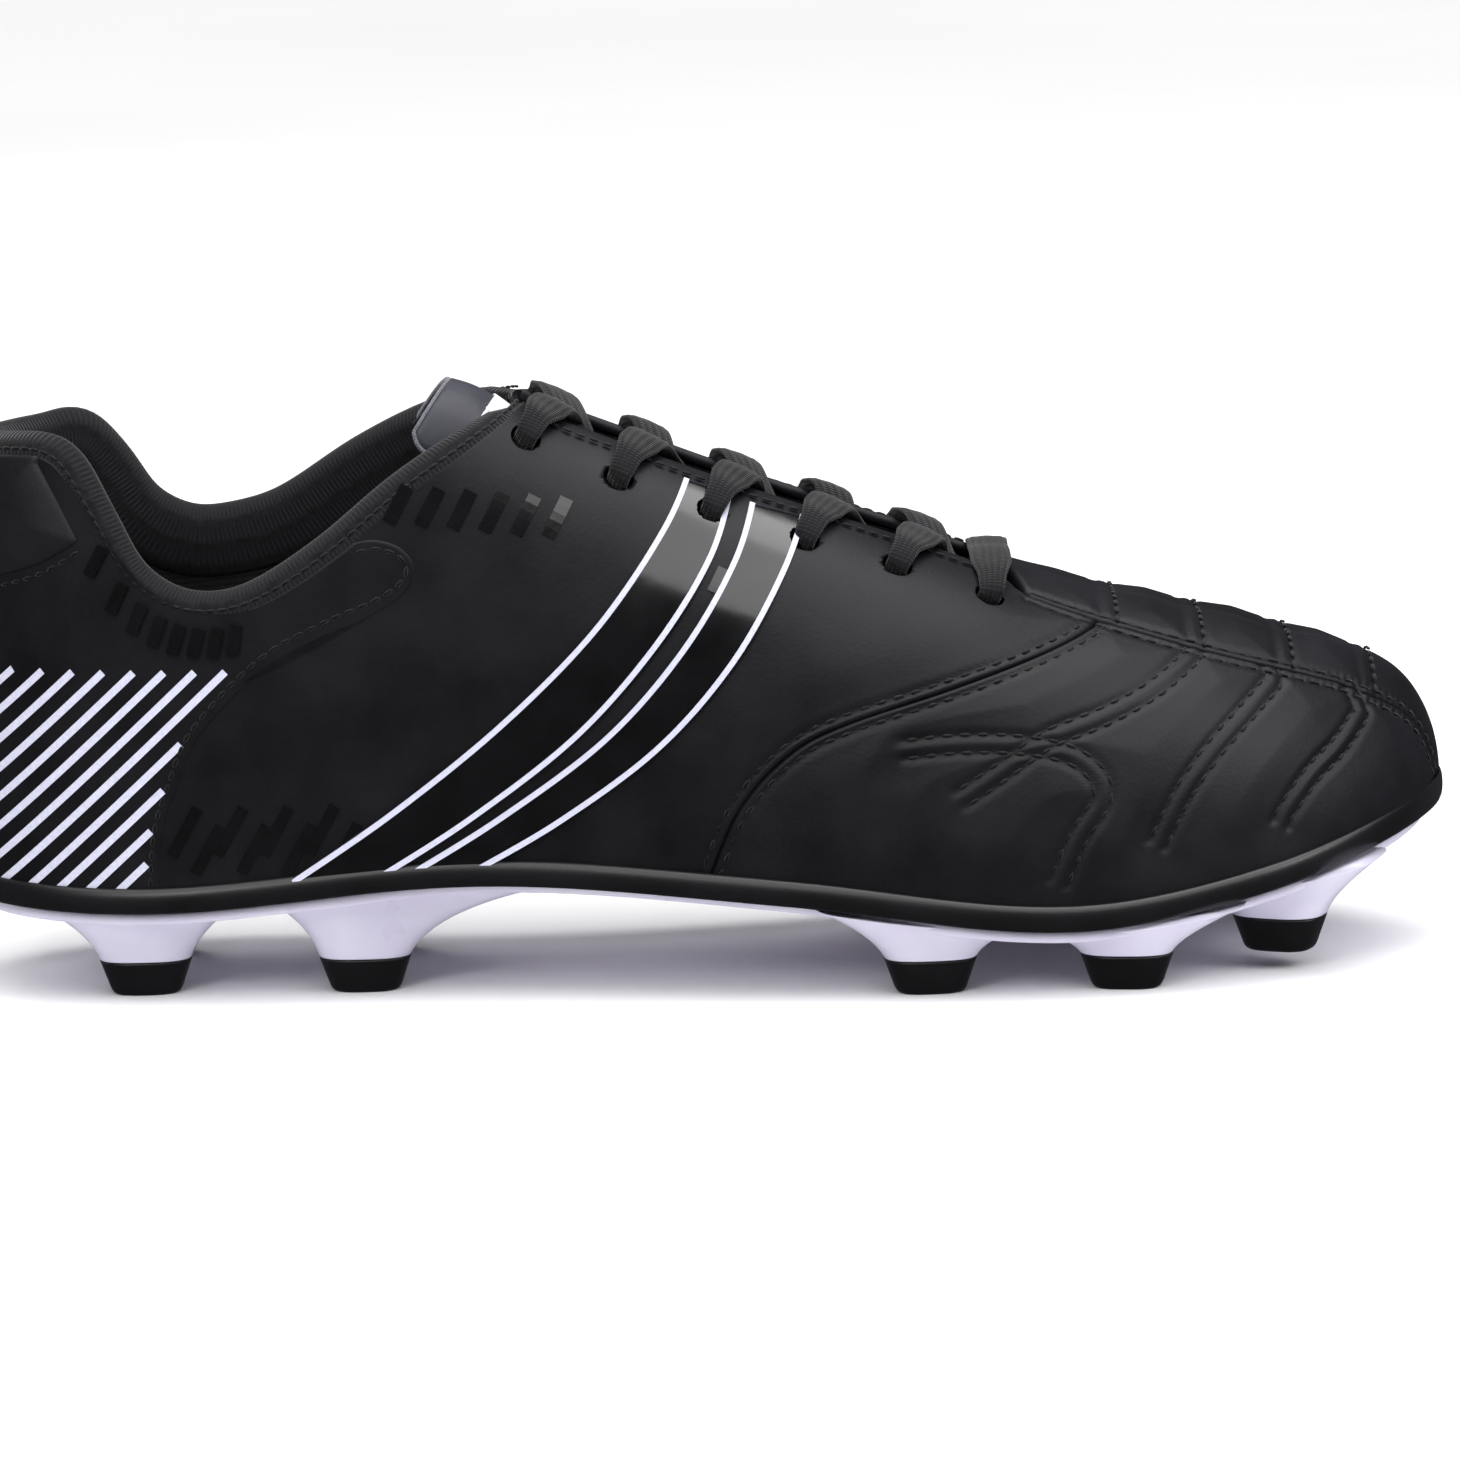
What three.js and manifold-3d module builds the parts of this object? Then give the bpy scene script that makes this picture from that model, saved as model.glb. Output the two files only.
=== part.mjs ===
// Soccer cleat, right shoe: moulded two-colour sole, layered upper, lacing and hinged tongue.
// Millimetres, +X to the toe, -Y to the outer (lateral) side, +Z up, stud tips on Z = 0.

import * as THREE from 'three';
import { mergeVertices } from 'three/addons/utils/BufferGeometryUtils.js';
import Module from 'manifold-3d';

const wasm = await Module();
wasm.setup();

// ---- Driving dimensions ---------------------------------------------------------------------

const SHOE_LENGTH = 285;
const BALL_WIDTH = 93;
const UPPER_HEIGHT = 100;
const BALL_CLEARANCE = 12.8;
const GAP = 0.3;

const OUTER_SKIN = 1.4;
const STIFFENER = 0.6;
const PADDING = 1.6;
const LINING = 1.0;
const FILM = 0.5;

const RIM_WALL = 1.8;
const RIM_HEIGHT = 5.2;
const RIM_FLOOR = 1.5;
const PLATE_THICKNESS = 2.2;
const PLATE_INSET = 1.6;
const BOARD_THICKNESS = 1.5;
const SOCKLINER_THICKNESS = 3.5;
const SOCKLINER_CLEARANCE = 1.1;

const STUD_TIP_LENGTH = 13;
const STUD_TIP_WIDTH = 10;
const STUD_TIP_HEIGHT = 6.5;
const STUD_DRAFT = 1.35;
const STUD_ROOT_FLARE = 1.9;
const TOE_STUD_LIFT = 3.5;

const EYELET_ROWS = 6;
const EYELET_DIAMETER = 5.8;
const EYELET_FIRST = 0.392;
const EYELET_LAST = 0.695;
const EYELET_OUT_TOP = 19.5;
const EYELET_OUT_FRONT = 22;
const THROAT_HALF = 10.5;
const THROAT_END = 0.722;

const LACE_WIDTH = 7;
const LACE_THICKNESS = 1.2;
const EYELET_CLEARANCE = 2.1;
const LACE_SLACK = 1.6;
const LACE_RIDE = 0.35;
const LACE_CROSS_HIGH = -1.0;
const LACE_CROSS_LOW = -2.9;
const AGLET_LENGTH = 17;
const AGLET_DIAMETER = 3.6;

const TONGUE_HALF = 15.0;
const TONGUE_SKIN = 1.0;
const TONGUE_PADDING = 2.4;
const TONGUE_START = 0.352;
const TONGUE_END = 0.715;
const TONGUE_DEPTH = 6.9;
const TONGUE_CORNER = 9;
const TONGUE_PAD_INSET = 2;
const LABEL_WIDTH = 16;
const LABEL_LENGTH = 9;
const LABEL_THICKNESS = 0.5;
const LABEL_SETBACK = 6;

const COLLAR_LIP = 4;
const COLLAR_PAD_DROP = 26;
const BINDING_INSET = 0.4;
const BINDING_SETBACK = 6;
const FILM_SETBACK = 2;
const LAYER_SETBACK = 1;
const SEAM_GAP = 0.35;

// ---- Form lines: [share of the shoe length, value] ------------------------------------------

const SOLE_RISE = [[0, 5.7], [0.14, 4.8], [0.35, 9.2], [0.56, 5.2], [0.744, 0], [0.877, 5.2], [1, 14.7]];
const HALF_WIDTH = [[0, 0.69], [0.21, 0.71], [0.386, 0.677], [0.526, 0.785], [0.667, 0.957], [0.754, 1],
  [1, 0.968]];
const SWING = [[0, 0], [0.21, -0.01], [0.386, -0.086], [0.526, -0.097], [0.667, -0.054], [0.842, 0.01],
  [1, 0.13]];
const RIDGE = [[0.03, 1.09], [0.2, 1.09], [0.35, 1.01], [0.505, 0.847], [0.639, 0.702], [0.702, 0.632],
  [0.842, 0.526], [0.919, 0.457]];
const SIDE_BULGE = [[0, 2.5], [0.2, 2], [0.45, 2.5], [0.75, 1.5], [1, 0.5]];
const FULLNESS = [[0, 2], [0.25, 2.2], [0.4, 2.5], [0.6, 2.1], [1, 2]];
const COLLAR_OUTER = [[0, 0.895], [0.056, 0.917], [0.084, 0.902], [0.105, 0.802], [0.126, 0.692],
  [0.154, 0.632], [0.186, 0.617], [0.218, 0.642], [0.263, 0.722], [0.316, 0.842], [0.39, 0.975]];
const COLLAR_INNER = [[0, 0.895], [0.056, 0.935], [0.081, 0.945], [0.102, 0.882], [0.123, 0.792],
  [0.154, 0.742], [0.186, 0.742], [0.225, 0.772], [0.281, 0.872], [0.337, 0.955], [0.39, 1.0]];

const HEEL_START = 0.009;
const ANKLE_BACK = 0.0386;
const ANKLE_FRONT = 0.352;
const ANKLE_FEATHER = 0.375;
const ANKLE_HALF = 0.56;
const TOE_RIDGE = 0.919;
const HEEL_ROUND = 7.5;
const TOE_ROUND = 4.5;

const LATERAL = -1;
const MEDIAL = 1;
const COLUMNS = 20;
const ROWS = 8;

// Where the inner layers start and end, as shares of the shoe length.
const BEHIND_HEEL = -0.1;
const BEYOND_TOE = 1.1;
const COUNTER_FRONT = 0.253;
const COLLAR_PAD_FRONT = 0.255;
const BINDING_FRONT = 0.36;
const QUARTER_PAD = [0.257, 0.46];
const EYESTAY = [0.3, 0.735];
const VAMP_PAD = [0.462, 0.85];
const TOE_PUFF_START = 0.852;
const STRIP_OVERLAP = 0.025;

// Reach of the cutting blocks: sideways, below the ground and past the end of a hollow.
const FAR = 90;
const BELOW = -20;
const CUT_THROUGH = 8;

// A smooth curve through the knots, flat beyond both ends.
function curveThrough(knots) {
  const slope = (i) => {
    const before = knots[Math.max(i - 1, 0)];
    const after = knots[Math.min(i + 1, knots.length - 1)];
    return (after[1] - before[1]) / (after[0] - before[0]);
  };
  return (x) => {
    if (x <= knots[0][0]) {
      return knots[0][1];
    }
    const next = knots.findIndex((knot) => knot[0] >= x);
    if (next < 0) {
      return knots[knots.length - 1][1];
    }
    const [x0, y0] = knots[next - 1];
    const [x1, y1] = knots[next];
    const span = x1 - x0;
    const u = (x - x0) / span;
    const rise = u * u * (3 - 2 * u);
    const lead = u * (1 - u) * (1 - u) * span * slope(next - 1);
    const tail = u * u * (1 - u) * span * slope(next);
    return y0 + (y1 - y0) * rise + lead - tail;
  };
}

const soleRise = curveThrough(SOLE_RISE);
const halfWidthShare = curveThrough(HALF_WIDTH);
const swingShare = curveThrough(SWING);
const ridgeShare = curveThrough(RIDGE);
const sideBulge = curveThrough(SIDE_BULGE);
const fullness = curveThrough(FULLNESS);
const collarShare = { [LATERAL]: curveThrough(COLLAR_OUTER), [MEDIAL]: curveThrough(COLLAR_INNER) };

const along = (share) => (share - 0.5) * SHOE_LENGTH;
const shareAt = (x) => x / SHOE_LENGTH + 0.5;
const above = (share) => BALL_CLEARANCE + share * UPPER_HEIGHT;
const soleLine = (share) => BALL_CLEARANCE + soleRise(share);
const middle = (share) => swingShare(share) * BALL_WIDTH / 2;
const lerp = THREE.MathUtils.lerp;
const smooth = THREE.MathUtils.smoothstep;

// ---- The form: the outer face of the upper --------------------------------------------------
// s runs from the heel back (0) to the toe tip (1), t from the feather edge (0) up to the
// ankle loop or the ridge (1).

function feather(side, s) {
  const share = lerp(HEEL_START, 1, (1 - Math.cos(Math.PI * s)) / 2);
  const roundness = s < 0.5 ? HEEL_ROUND : TOE_ROUND;
  const end = Math.sqrt(Math.max(0, 1 - Math.abs(Math.cos(Math.PI * s)) ** roundness));
  const half = halfWidthShare(share) * end * BALL_WIDTH / 2;
  const z = soleLine(share) + RIM_FLOOR + GAP;
  return { share, point: new THREE.Vector3(along(share), middle(share) + side * half, z) };
}

function ridge(side, featherShare) {
  if (featherShare < ANKLE_FEATHER) {
    const u = (featherShare - HEEL_START) / (ANKLE_FEATHER - HEEL_START);
    const share = lerp(ANKLE_BACK, ANKLE_FRONT, u);
    const half = ANKLE_HALF * Math.sqrt(Math.max(0, 1 - (2 * u - 1) ** 2)) * BALL_WIDTH / 2;
    return new THREE.Vector3(along(share), middle(share) + side * half, above(ridgeShare(share)));
  }
  const u = (featherShare - ANKLE_FEATHER) / (1 - ANKLE_FEATHER);
  const share = lerp(ANKLE_FRONT, TOE_RIDGE, u);
  return new THREE.Vector3(along(share), middle(share), above(ridgeShare(share)));
}

function formPoint(side, s, t) {
  const { share, point: low } = feather(side, s);
  const top = ridge(side, share);
  const power = 2 / fullness(share);
  const angle = t * Math.PI / 2;
  const inward = 1 - Math.max(0, Math.cos(angle)) ** power;
  const upward = Math.sin(angle) ** power;
  const step = 0.002;
  const before = feather(side, Math.max(s - step, 0)).point;
  const after = feather(side, Math.min(s + step, 1)).point;
  const outward = new THREE.Vector3((after.y - before.y) * -side, (after.x - before.x) * side, 0).normalize();
  if (s === 0 || s === 1) {
    outward.set(s === 0 ? -1 : 1, 0, 0);
  }
  const point = new THREE.Vector3(
    lerp(low.x, top.x, inward),
    lerp(low.y, top.y, inward),
    lerp(low.z, top.z, upward),
  );
  return point.addScaledVector(outward, sideBulge(share) * Math.sin(Math.PI * t));
}

function formNormal(side, s, t) {
  const step = 0.004;
  const back = formPoint(side, Math.max(s - step, 0.001), t);
  const front = formPoint(side, Math.min(s + step, 0.999), t);
  const low = formPoint(side, s, Math.max(t - step, 0));
  const high = formPoint(side, s, Math.min(t + step, 1));
  return front.sub(back).cross(high.sub(low)).multiplyScalar(-side).normalize();
}

// The place on the form above the plan position (x, y), for the top of the instep and vamp.
function formAbove(x, y) {
  const side = y < middle(shareAt(x)) ? LATERAL : MEDIAL;
  let low = 0.3;
  let high = 1;
  let t = 1;
  for (let turn = 0; turn < 40; turn += 1) {
    const s = (low + high) / 2;
    const reach = (value) => {
      const place = formPoint(side, s, value);
      return Math.abs(place.y - middle(shareAt(place.x)));
    };
    const wanted = Math.abs(y - middle(shareAt(x)));
    let tLow = 0.3;
    let tHigh = 1;
    for (let step = 0; step < 24; step += 1) {
      t = (tLow + tHigh) / 2;
      if (reach(t) > wanted) {
        tLow = t;
      } else {
        tHigh = t;
      }
    }
    if (formPoint(side, s, t).x < x) {
      low = s;
    } else {
      high = s;
    }
  }
  const s = (low + high) / 2;
  return { point: formPoint(side, s, t), normal: formNormal(side, s, Math.min(t, 0.985)), side, s, t };
}

// ---- Solids ---------------------------------------------------------------------------------

function toManifold(geometry) {
  const bare = geometry.index ? geometry.toNonIndexed() : geometry.clone();
  for (const name of Object.keys(bare.attributes)) {
    if (name !== 'position') {
      bare.deleteAttribute(name);
    }
  }
  const merged = mergeVertices(bare, 1e-4);
  return new wasm.Manifold(new wasm.Mesh({
    numProp: 3,
    vertProperties: Float32Array.from(merged.attributes.position.array),
    triVerts: Uint32Array.from(merged.index.array),
  }));
}

function toGeometry(solid) {
  const mesh = solid.getMesh();
  const geometry = new THREE.BufferGeometry();
  geometry.setAttribute('position', new THREE.BufferAttribute(Float32Array.from(mesh.vertProperties), 3));
  geometry.setIndex(new THREE.BufferAttribute(Uint32Array.from(mesh.triVerts), 1));
  return geometry;
}

function solidFrom(points, faces) {
  const geometry = new THREE.BufferGeometry();
  geometry.setAttribute('position', new THREE.Float32BufferAttribute(points.flatMap((p) => p.toArray()), 3));
  const triangles = faces.flatMap((face) => (face.length === 3
    ? face
    : [face[0], face[1], face[2], face[0], face[2], face[3]]));
  geometry.setIndex(triangles);
  return toManifold(geometry);
}

// Faces of the form's wall, once for all layers, so every layer has the same facets.
const wall = (() => {
  const points = [];
  const places = [];
  const known = new Map();
  const crest = (column) => feather(LATERAL, column / COLUMNS).share >= ANKLE_FEATHER;
  const vertex = (side, column, row) => {
    const shared = column === 0 || column === COLUMNS || (row === ROWS && crest(column));
    const key = `${shared ? 0 : side},${column},${row}`;
    if (!known.has(key)) {
      known.set(key, points.length);
      points.push(formPoint(side, column / COLUMNS, row / ROWS));
      places.push({ column, row });
    }
    return known.get(key);
  };
  const faces = [];
  for (const side of [LATERAL, MEDIAL]) {
    for (let column = 0; column < COLUMNS; column += 1) {
      for (let row = 0; row < ROWS; row += 1) {
        const face = [vertex(side, column, row), vertex(side, column + 1, row),
          vertex(side, column + 1, row + 1), vertex(side, column, row + 1)];
        faces.push(side === LATERAL ? face : face.reverse());
      }
    }
  }
  const normals = points.map(() => new THREE.Vector3());
  for (const face of faces) {
    const [a, b, c, d] = face.map((index) => points[index]);
    const normal = c.clone().sub(a).cross(d.clone().sub(b));
    face.forEach((index) => normals[index].add(normal));
  }
  normals.forEach((normal) => normal.normalize());
  return { points, places, faces, normals, vertex, crest };
})();

// The form grown or shrunk by a distance for each place, with its base and ankle ends pushed
// out so that a smaller form cuts right through a larger one.
function formSolid(distance, push) {
  const points = wall.points.map((point, index) => {
    const { column, row } = wall.places[index];
    return point.clone().addScaledVector(wall.normals[index], distance(column / COLUMNS, row / ROWS));
  });
  const faces = [...wall.faces];
  const extra = (index, rise) => {
    points.push(points[index].clone().setZ(points[index].z + rise));
    return points.length - 1;
  };
  const close = (row, rise, last, upward) => {
    const ring = (side, column) => wall.vertex(side, column, row);
    const ends = new Map();
    const end = (side, column) => {
      const index = ring(side, column);
      if (!ends.has(index)) {
        ends.set(index, rise === 0 ? index : extra(index, rise));
      }
      return ends.get(index);
    };
    const face = (corners) => {
      const distinct = corners.filter((corner, place) => corner !== corners[(place + 1) % corners.length]);
      if (distinct.length > 2) {
        faces.push(upward ? distinct : distinct.reverse());
      }
    };
    for (let column = 0; column < last; column += 1) {
      if (rise !== 0) {
        for (const side of [LATERAL, MEDIAL]) {
          const next = column + 1;
          const around = [ring(side, column), ring(side, next), end(side, next), end(side, column)];
          const flip = (side === LATERAL) === upward;
          faces.push(flip ? around : around.reverse());
        }
      }
      face([end(LATERAL, column), end(LATERAL, column + 1), end(MEDIAL, column + 1), end(MEDIAL, column)]);
    }
  };
  let ankleColumns = 0;
  while (!wall.crest(ankleColumns)) {
    ankleColumns += 1;
  }
  close(0, -push, COLUMNS, false);
  close(ROWS, push, ankleColumns, true);
  return solidFrom(points, faces);
}

// How much padding lies under each place: none beside the throat, full elsewhere.
function paddingAt(s, t) {
  const share = feather(LATERAL, s).share;
  const throat = smooth(share, 0.3, 0.42) * (1 - smooth(share, 0.76, 0.84));
  return PADDING * (1 - throat * smooth(t, 0.5, 0.72));
}

const even = (distance) => () => distance;
const stiffenerOuter = OUTER_SKIN + GAP;
const stiffenerInner = (s, t) => stiffenerOuter + STIFFENER + paddingAt(s, t);
const liningOuter = (s, t) => stiffenerInner(s, t) + GAP;
const liningInner = (s, t) => liningOuter(s, t) + LINING;
const inside = (depth) => (s, t) => -depth(s, t);

function shell(outer, inner) {
  return formSolid(outer, 0).subtract(formSolid(inner, CUT_THROUGH));
}

const outerShell = shell(even(0), even(-OUTER_SKIN));
const middleShell = shell(even(-stiffenerOuter), inside(stiffenerInner));
const liningShell = shell(inside(liningOuter), inside(liningInner));
const filmShell = shell(even(GAP + FILM), even(GAP));

// A block whose outline is drawn in side view, reaching from one Y to another.
function sideBlock(outline, from, to) {
  const shape = new THREE.Shape(outline.map(([x, z]) => new THREE.Vector2(x, z)));
  const geometry = new THREE.ExtrudeGeometry(shape, { depth: to - from, bevelEnabled: false });
  geometry.rotateX(Math.PI / 2).translate(0, to, 0);
  return toManifold(geometry);
}

// A block whose outline is drawn in plan, reaching through the whole height.
function planBlock(outline, from = BELOW, to = 2 * FAR) {
  const shape = new THREE.Shape(outline.map(([x, y]) => new THREE.Vector2(x, y)));
  const geometry = new THREE.ExtrudeGeometry(shape, { depth: to - from, bevelEnabled: false });
  geometry.translate(0, 0, from);
  return toManifold(geometry);
}

function spaced(count, make) {
  return Array.from({ length: count + 1 }, (unused, index) => make(index / count));
}

const sideSpan = { [LATERAL]: [-FAR, 0], [MEDIAL]: [0, FAR] };
const leftOf = -SHOE_LENGTH;
const rightOf = SHOE_LENGTH;
const topOf = 3 * UPPER_HEIGHT;

// Everything under the collar line raised by a height, one half for each side.
function underCollar(raise) {
  return [LATERAL, MEDIAL].map((side) => {
    const line = spaced(20, (u) => {
      const share = lerp(-0.02, 0.39, u);
      return [along(share), above(collarShare[side](Math.max(share, 0))) + raise];
    });
    const outline = [[line[0][0], BELOW], ...line, [line.at(-1)[0], topOf], [rightOf, topOf],
      [rightOf, BELOW]];
    return sideBlock(outline.reverse(), ...sideSpan[side]);
  }).reduce((sum, block) => sum.add(block));
}

// The seam lines, in side view, as [share of the length, share of the height].
const FOXING_SEAM = [[0.27, 0.9], [0.3, 0.76], [0.317, 0.73], [0.321, 0.69], [0.312, 0.645], [0.267, 0.59],
  [0.218, 0.517], [0.175, 0.393], [0.158, 0.289], [0.147, 0.19], [0.143, 0.02]];
const VAMP_SEAM = [[0.8, 0.6], [0.772, 0.549], [0.737, 0.511], [0.667, 0.453], [0.6, 0.397], [0.56, 0.34],
  [0.525, 0.23], [0.5, 0]];
const TAB_SEAM = [[0, 0.672], [0.042, 0.682], [0.074, 0.713], [0.1, 0.752]];
const TAB_FRONT = [[0.1, 0.752], [0.094, 0.82], [0.082, 0.94], [0.08, 1.1]];
const GLOSS_BACK = [[0.22, 0.02], [0.29, 0.2], [0.37, 0.42], [0.44, 0.62], [0.5, 0.8], [0.52, 0.9]];
const GLOSS_FRONT = [[0.34, 0.02], [0.41, 0.21], [0.475, 0.4], [0.53, 0.6], [0.568, 0.76], [0.58, 0.87]];
const FOAM_TOP = [[0.28, 0.6], [0.4, 0.55], [0.55, 0.48], [0.7, 0.4]];

const inSide = (line) => line.map(([share, rise]) => [along(share), above(rise)]);
const smoothLine = (line) => new THREE.SplineCurve(inSide(line).map(([x, z]) => new THREE.Vector2(x, z)))
  .getPoints(line.length + 2)
  .map((point) => [point.x, point.y]);

// The side of a seam line toward the heel, with the line moved toward the toe by a distance.
function behind(line, move, from = -FAR, to = FAR) {
  const seam = smoothLine(line).map(([x, z]) => [x + move, z]);
  const outline = [[leftOf, topOf], [seam[0][0], topOf], ...seam, [leftOf, seam.at(-1)[1]]];
  return sideBlock(outline.reverse(), from, to);
}

function throatBlock(extra) {
  const start = along(0.3);
  const end = along(THROAT_END) - THROAT_HALF;
  const half = THROAT_HALF + extra;
  const edge = (side) => spaced(4, (u) => {
    const x = lerp(start, end, u);
    return [x, middle(shareAt(x)) + side * half];
  });
  const round = spaced(8, (u) => {
    const angle = Math.PI * (u - 0.5);
    return [end + half * Math.cos(angle), middle(shareAt(end)) + half * Math.sin(angle)];
  });
  return planBlock([...edge(LATERAL), ...round.slice(1, -1), ...edge(MEDIAL).reverse()]);
}

// The strip along the top of the toe, between the two long seams.
const TOE_STRIP = [[0.7, 0.3], [0.84, 0.31], [0.93, 0.26], [1.03, 0.12]];
const stripHalf = curveThrough(TOE_STRIP);

function toeStrip(extra) {
  const edge = (side) => spaced(8, (u) => {
    const share = lerp(THROAT_END - STRIP_OVERLAP, TOE_STRIP.at(-1)[0], u);
    return [along(share), middle(Math.min(share, 1)) + side * (stripHalf(share) * BALL_WIDTH / 2 + extra)];
  });
  return planBlock([...edge(LATERAL), ...edge(MEDIAL).reverse()]);
}

// ---- Eyelets --------------------------------------------------------------------------------

const eyelets = [LATERAL, MEDIAL].flatMap((side) => spaced(EYELET_ROWS - 1, (u) => {
  const share = lerp(EYELET_FIRST, EYELET_LAST, u);
  const out = lerp(EYELET_OUT_TOP, EYELET_OUT_FRONT, u);
  return { side, ...formAbove(along(share), middle(share) + side * out) };
}));

const eyeletAt = (side, row) => eyelets[(side === LATERAL ? 0 : EYELET_ROWS) + row];

const eyeletCutters = eyelets.map(({ point, normal }) => {
  const cutter = new THREE.CylinderGeometry(EYELET_DIAMETER / 2, EYELET_DIAMETER / 2, 14, 8);
  cutter.applyQuaternion(new THREE.Quaternion().setFromUnitVectors(new THREE.Vector3(0, 1, 0), normal));
  cutter.translate(...point.toArray());
  return toManifold(cutter);
}).reduce((sum, cutter) => sum.add(cutter));

// ---- Sole -----------------------------------------------------------------------------------

// A slab that follows the sole's outline, moved out by a distance, between two heights above
// the sole line.
function soleSlab(move, low, high) {
  const points = [];
  const count = COLUMNS + 4;
  const vertex = new Map();
  const at = (side, column, level) => {
    const shared = column === 0 || column === count;
    const key = `${shared ? 0 : side},${column},${level}`;
    if (!vertex.has(key)) {
      const s = column / count;
      const { point } = feather(side, s);
      const step = 0.002;
      const before = feather(side, Math.max(s - step, 0)).point;
      const after = feather(side, Math.min(s + step, 1)).point;
      const outward = new THREE.Vector3((after.y - before.y) * -side, (after.x - before.x) * side, 0);
      if (shared) {
        outward.set(column === 0 ? -1 : 1, 0, 0);
      }
      point.addScaledVector(outward.normalize(), move);
      point.z = soleLine(shareAt(point.x)) + (level === 0 ? low : high);
      vertex.set(key, points.length);
      points.push(point);
    }
    return vertex.get(key);
  };
  const faces = [];
  const add = (corners) => {
    const distinct = corners.filter((corner, place) => corner !== corners[(place + 1) % corners.length]);
    faces.push(distinct);
  };
  for (let column = 0; column < count; column += 1) {
    const next = column + 1;
    add([at(LATERAL, column, 0), at(LATERAL, next, 0), at(LATERAL, next, 1), at(LATERAL, column, 1)]);
    add([at(MEDIAL, column, 1), at(MEDIAL, next, 1), at(MEDIAL, next, 0), at(MEDIAL, column, 0)]);
    add([at(LATERAL, column, 1), at(LATERAL, next, 1), at(MEDIAL, next, 1), at(MEDIAL, column, 1)]);
    add([at(LATERAL, next, 0), at(LATERAL, column, 0), at(MEDIAL, column, 0), at(MEDIAL, next, 0)]);
  }
  return solidFrom(points, faces);
}

// Studs: [name, share of the length, share of the half width, turn in degrees, lift off the ground]
const STUDS = [
  ['heel_rear', 0.128, 0.53, 0, 0],
  ['heel_front', 0.275, 0.56, 0, 0],
  ['ball_rear', 0.65, 0.74, 4, 0],
  ['ball_front', 0.78, 0.74, -8, 0],
  ['toe', 0.885, 0.5, -24, TOE_STUD_LIFT],
];

// A tapered blade with an oval section, from a lower to an upper height.
function blade(lowLength, lowWidth, highLength, highWidth, low, high) {
  const sides = 12;
  const geometry = new THREE.CylinderGeometry(0.5, 0.5, high - low, sides);
  geometry.rotateX(Math.PI / 2).translate(0, 0, (high + low) / 2);
  const place = geometry.attributes.position;
  for (let index = 0; index < place.count; index += 1) {
    const u = (place.getZ(index) - low) / (high - low);
    place.setX(index, place.getX(index) * lerp(lowLength, highLength, u));
    place.setY(index, place.getY(index) * lerp(lowWidth, highWidth, u));
  }
  return geometry;
}

const studs = [LATERAL, MEDIAL].flatMap((side) => STUDS.map(([name, share, out, turn, lift]) => {
  const y = middle(share) + side * out * halfWidthShare(share) * BALL_WIDTH / 2;
  const place = new THREE.Matrix4().makeRotationZ(THREE.MathUtils.degToRad(-side * turn));
  place.setPosition(along(share), y, 0);
  const top = soleLine(share) - GAP - PLATE_THICKNESS / 2;
  const split = lift + STUD_TIP_HEIGHT;
  const tipLength = STUD_TIP_LENGTH * STUD_DRAFT;
  const tipWidth = STUD_TIP_WIDTH * STUD_DRAFT;
  const tip = blade(STUD_TIP_LENGTH, STUD_TIP_WIDTH, tipLength, tipWidth, lift, split);
  const root = blade(tipLength, tipWidth, tipLength * STUD_ROOT_FLARE, tipWidth * 1.25, split + GAP, top);
  return { name: `stud_tip_${side === LATERAL ? 'outer' : 'inner'}_${name}`,
    tip: tip.applyMatrix4(place), root: root.applyMatrix4(place) };
}));

const aboveSole = sideBlock([...spaced(40, (u) => [along(u), soleLine(u) - GAP]).reverse(),
  [along(0), topOf], [along(1), topOf]].reverse(), -FAR, FAR);
const solePlate = studs.reduce(
  (plate, stud) => plate.add(toManifold(stud.root)),
  soleSlab(-PLATE_INSET, -PLATE_THICKNESS - GAP, -GAP),
).subtract(aboveSole);
const footHollow = formSolid(even(GAP), GAP);
const soleRim = soleSlab(GAP + RIM_WALL, 0, RIM_HEIGHT).subtract(footHollow);

const boardInset = stiffenerOuter + STIFFENER + PADDING + GAP + LINING + SOCKLINER_CLEARANCE;
const boardLow = RIM_FLOOR + GAP;
const insoleBoard = soleSlab(-boardInset, boardLow, boardLow + BOARD_THICKNESS)
  .intersect(formSolid(even(0), 0));
const linerLow = boardLow + BOARD_THICKNESS + GAP;
const sockliner = soleSlab(-boardInset, linerLow, linerLow + SOCKLINER_THICKNESS);

// ---- Upper ----------------------------------------------------------------------------------

const everywhere = [[leftOf, BELOW], [rightOf, BELOW], [rightOf, topOf], [leftOf, topOf]];
const halfSpace = {
  [LATERAL]: sideBlock(everywhere, ...sideSpan[LATERAL]),
  [MEDIAL]: sideBlock(everywhere, ...sideSpan[MEDIAL]),
};

const shaped = underCollar(0);
const upperSkin = outerShell.intersect(shaped).subtract(throatBlock(0));
const stripCut = toeStrip(SEAM_GAP);

function between(fromShare, toShare) {
  const start = along(fromShare);
  const end = along(toShare);
  return sideBlock([[start, BELOW], [end, BELOW], [end, topOf], [start, topOf]], -FAR, FAR);
}

const tabOutline = [
  [leftOf, above(TAB_SEAM[0][1])],
  ...inSide(TAB_SEAM),
  ...inSide(TAB_FRONT).slice(1),
  [leftOf, above(TAB_FRONT.at(-1)[1])],
];
const tabBlock = sideBlock(tabOutline, -FAR, FAR);
const tabCut = sideBlock(tabOutline.map(([x, z], index) => [
  x + (index > 0 && index < tabOutline.length - 1 ? SEAM_GAP : 0),
  z - (index <= TAB_SEAM.length ? SEAM_GAP : 0),
]), -FAR, FAR);

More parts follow.
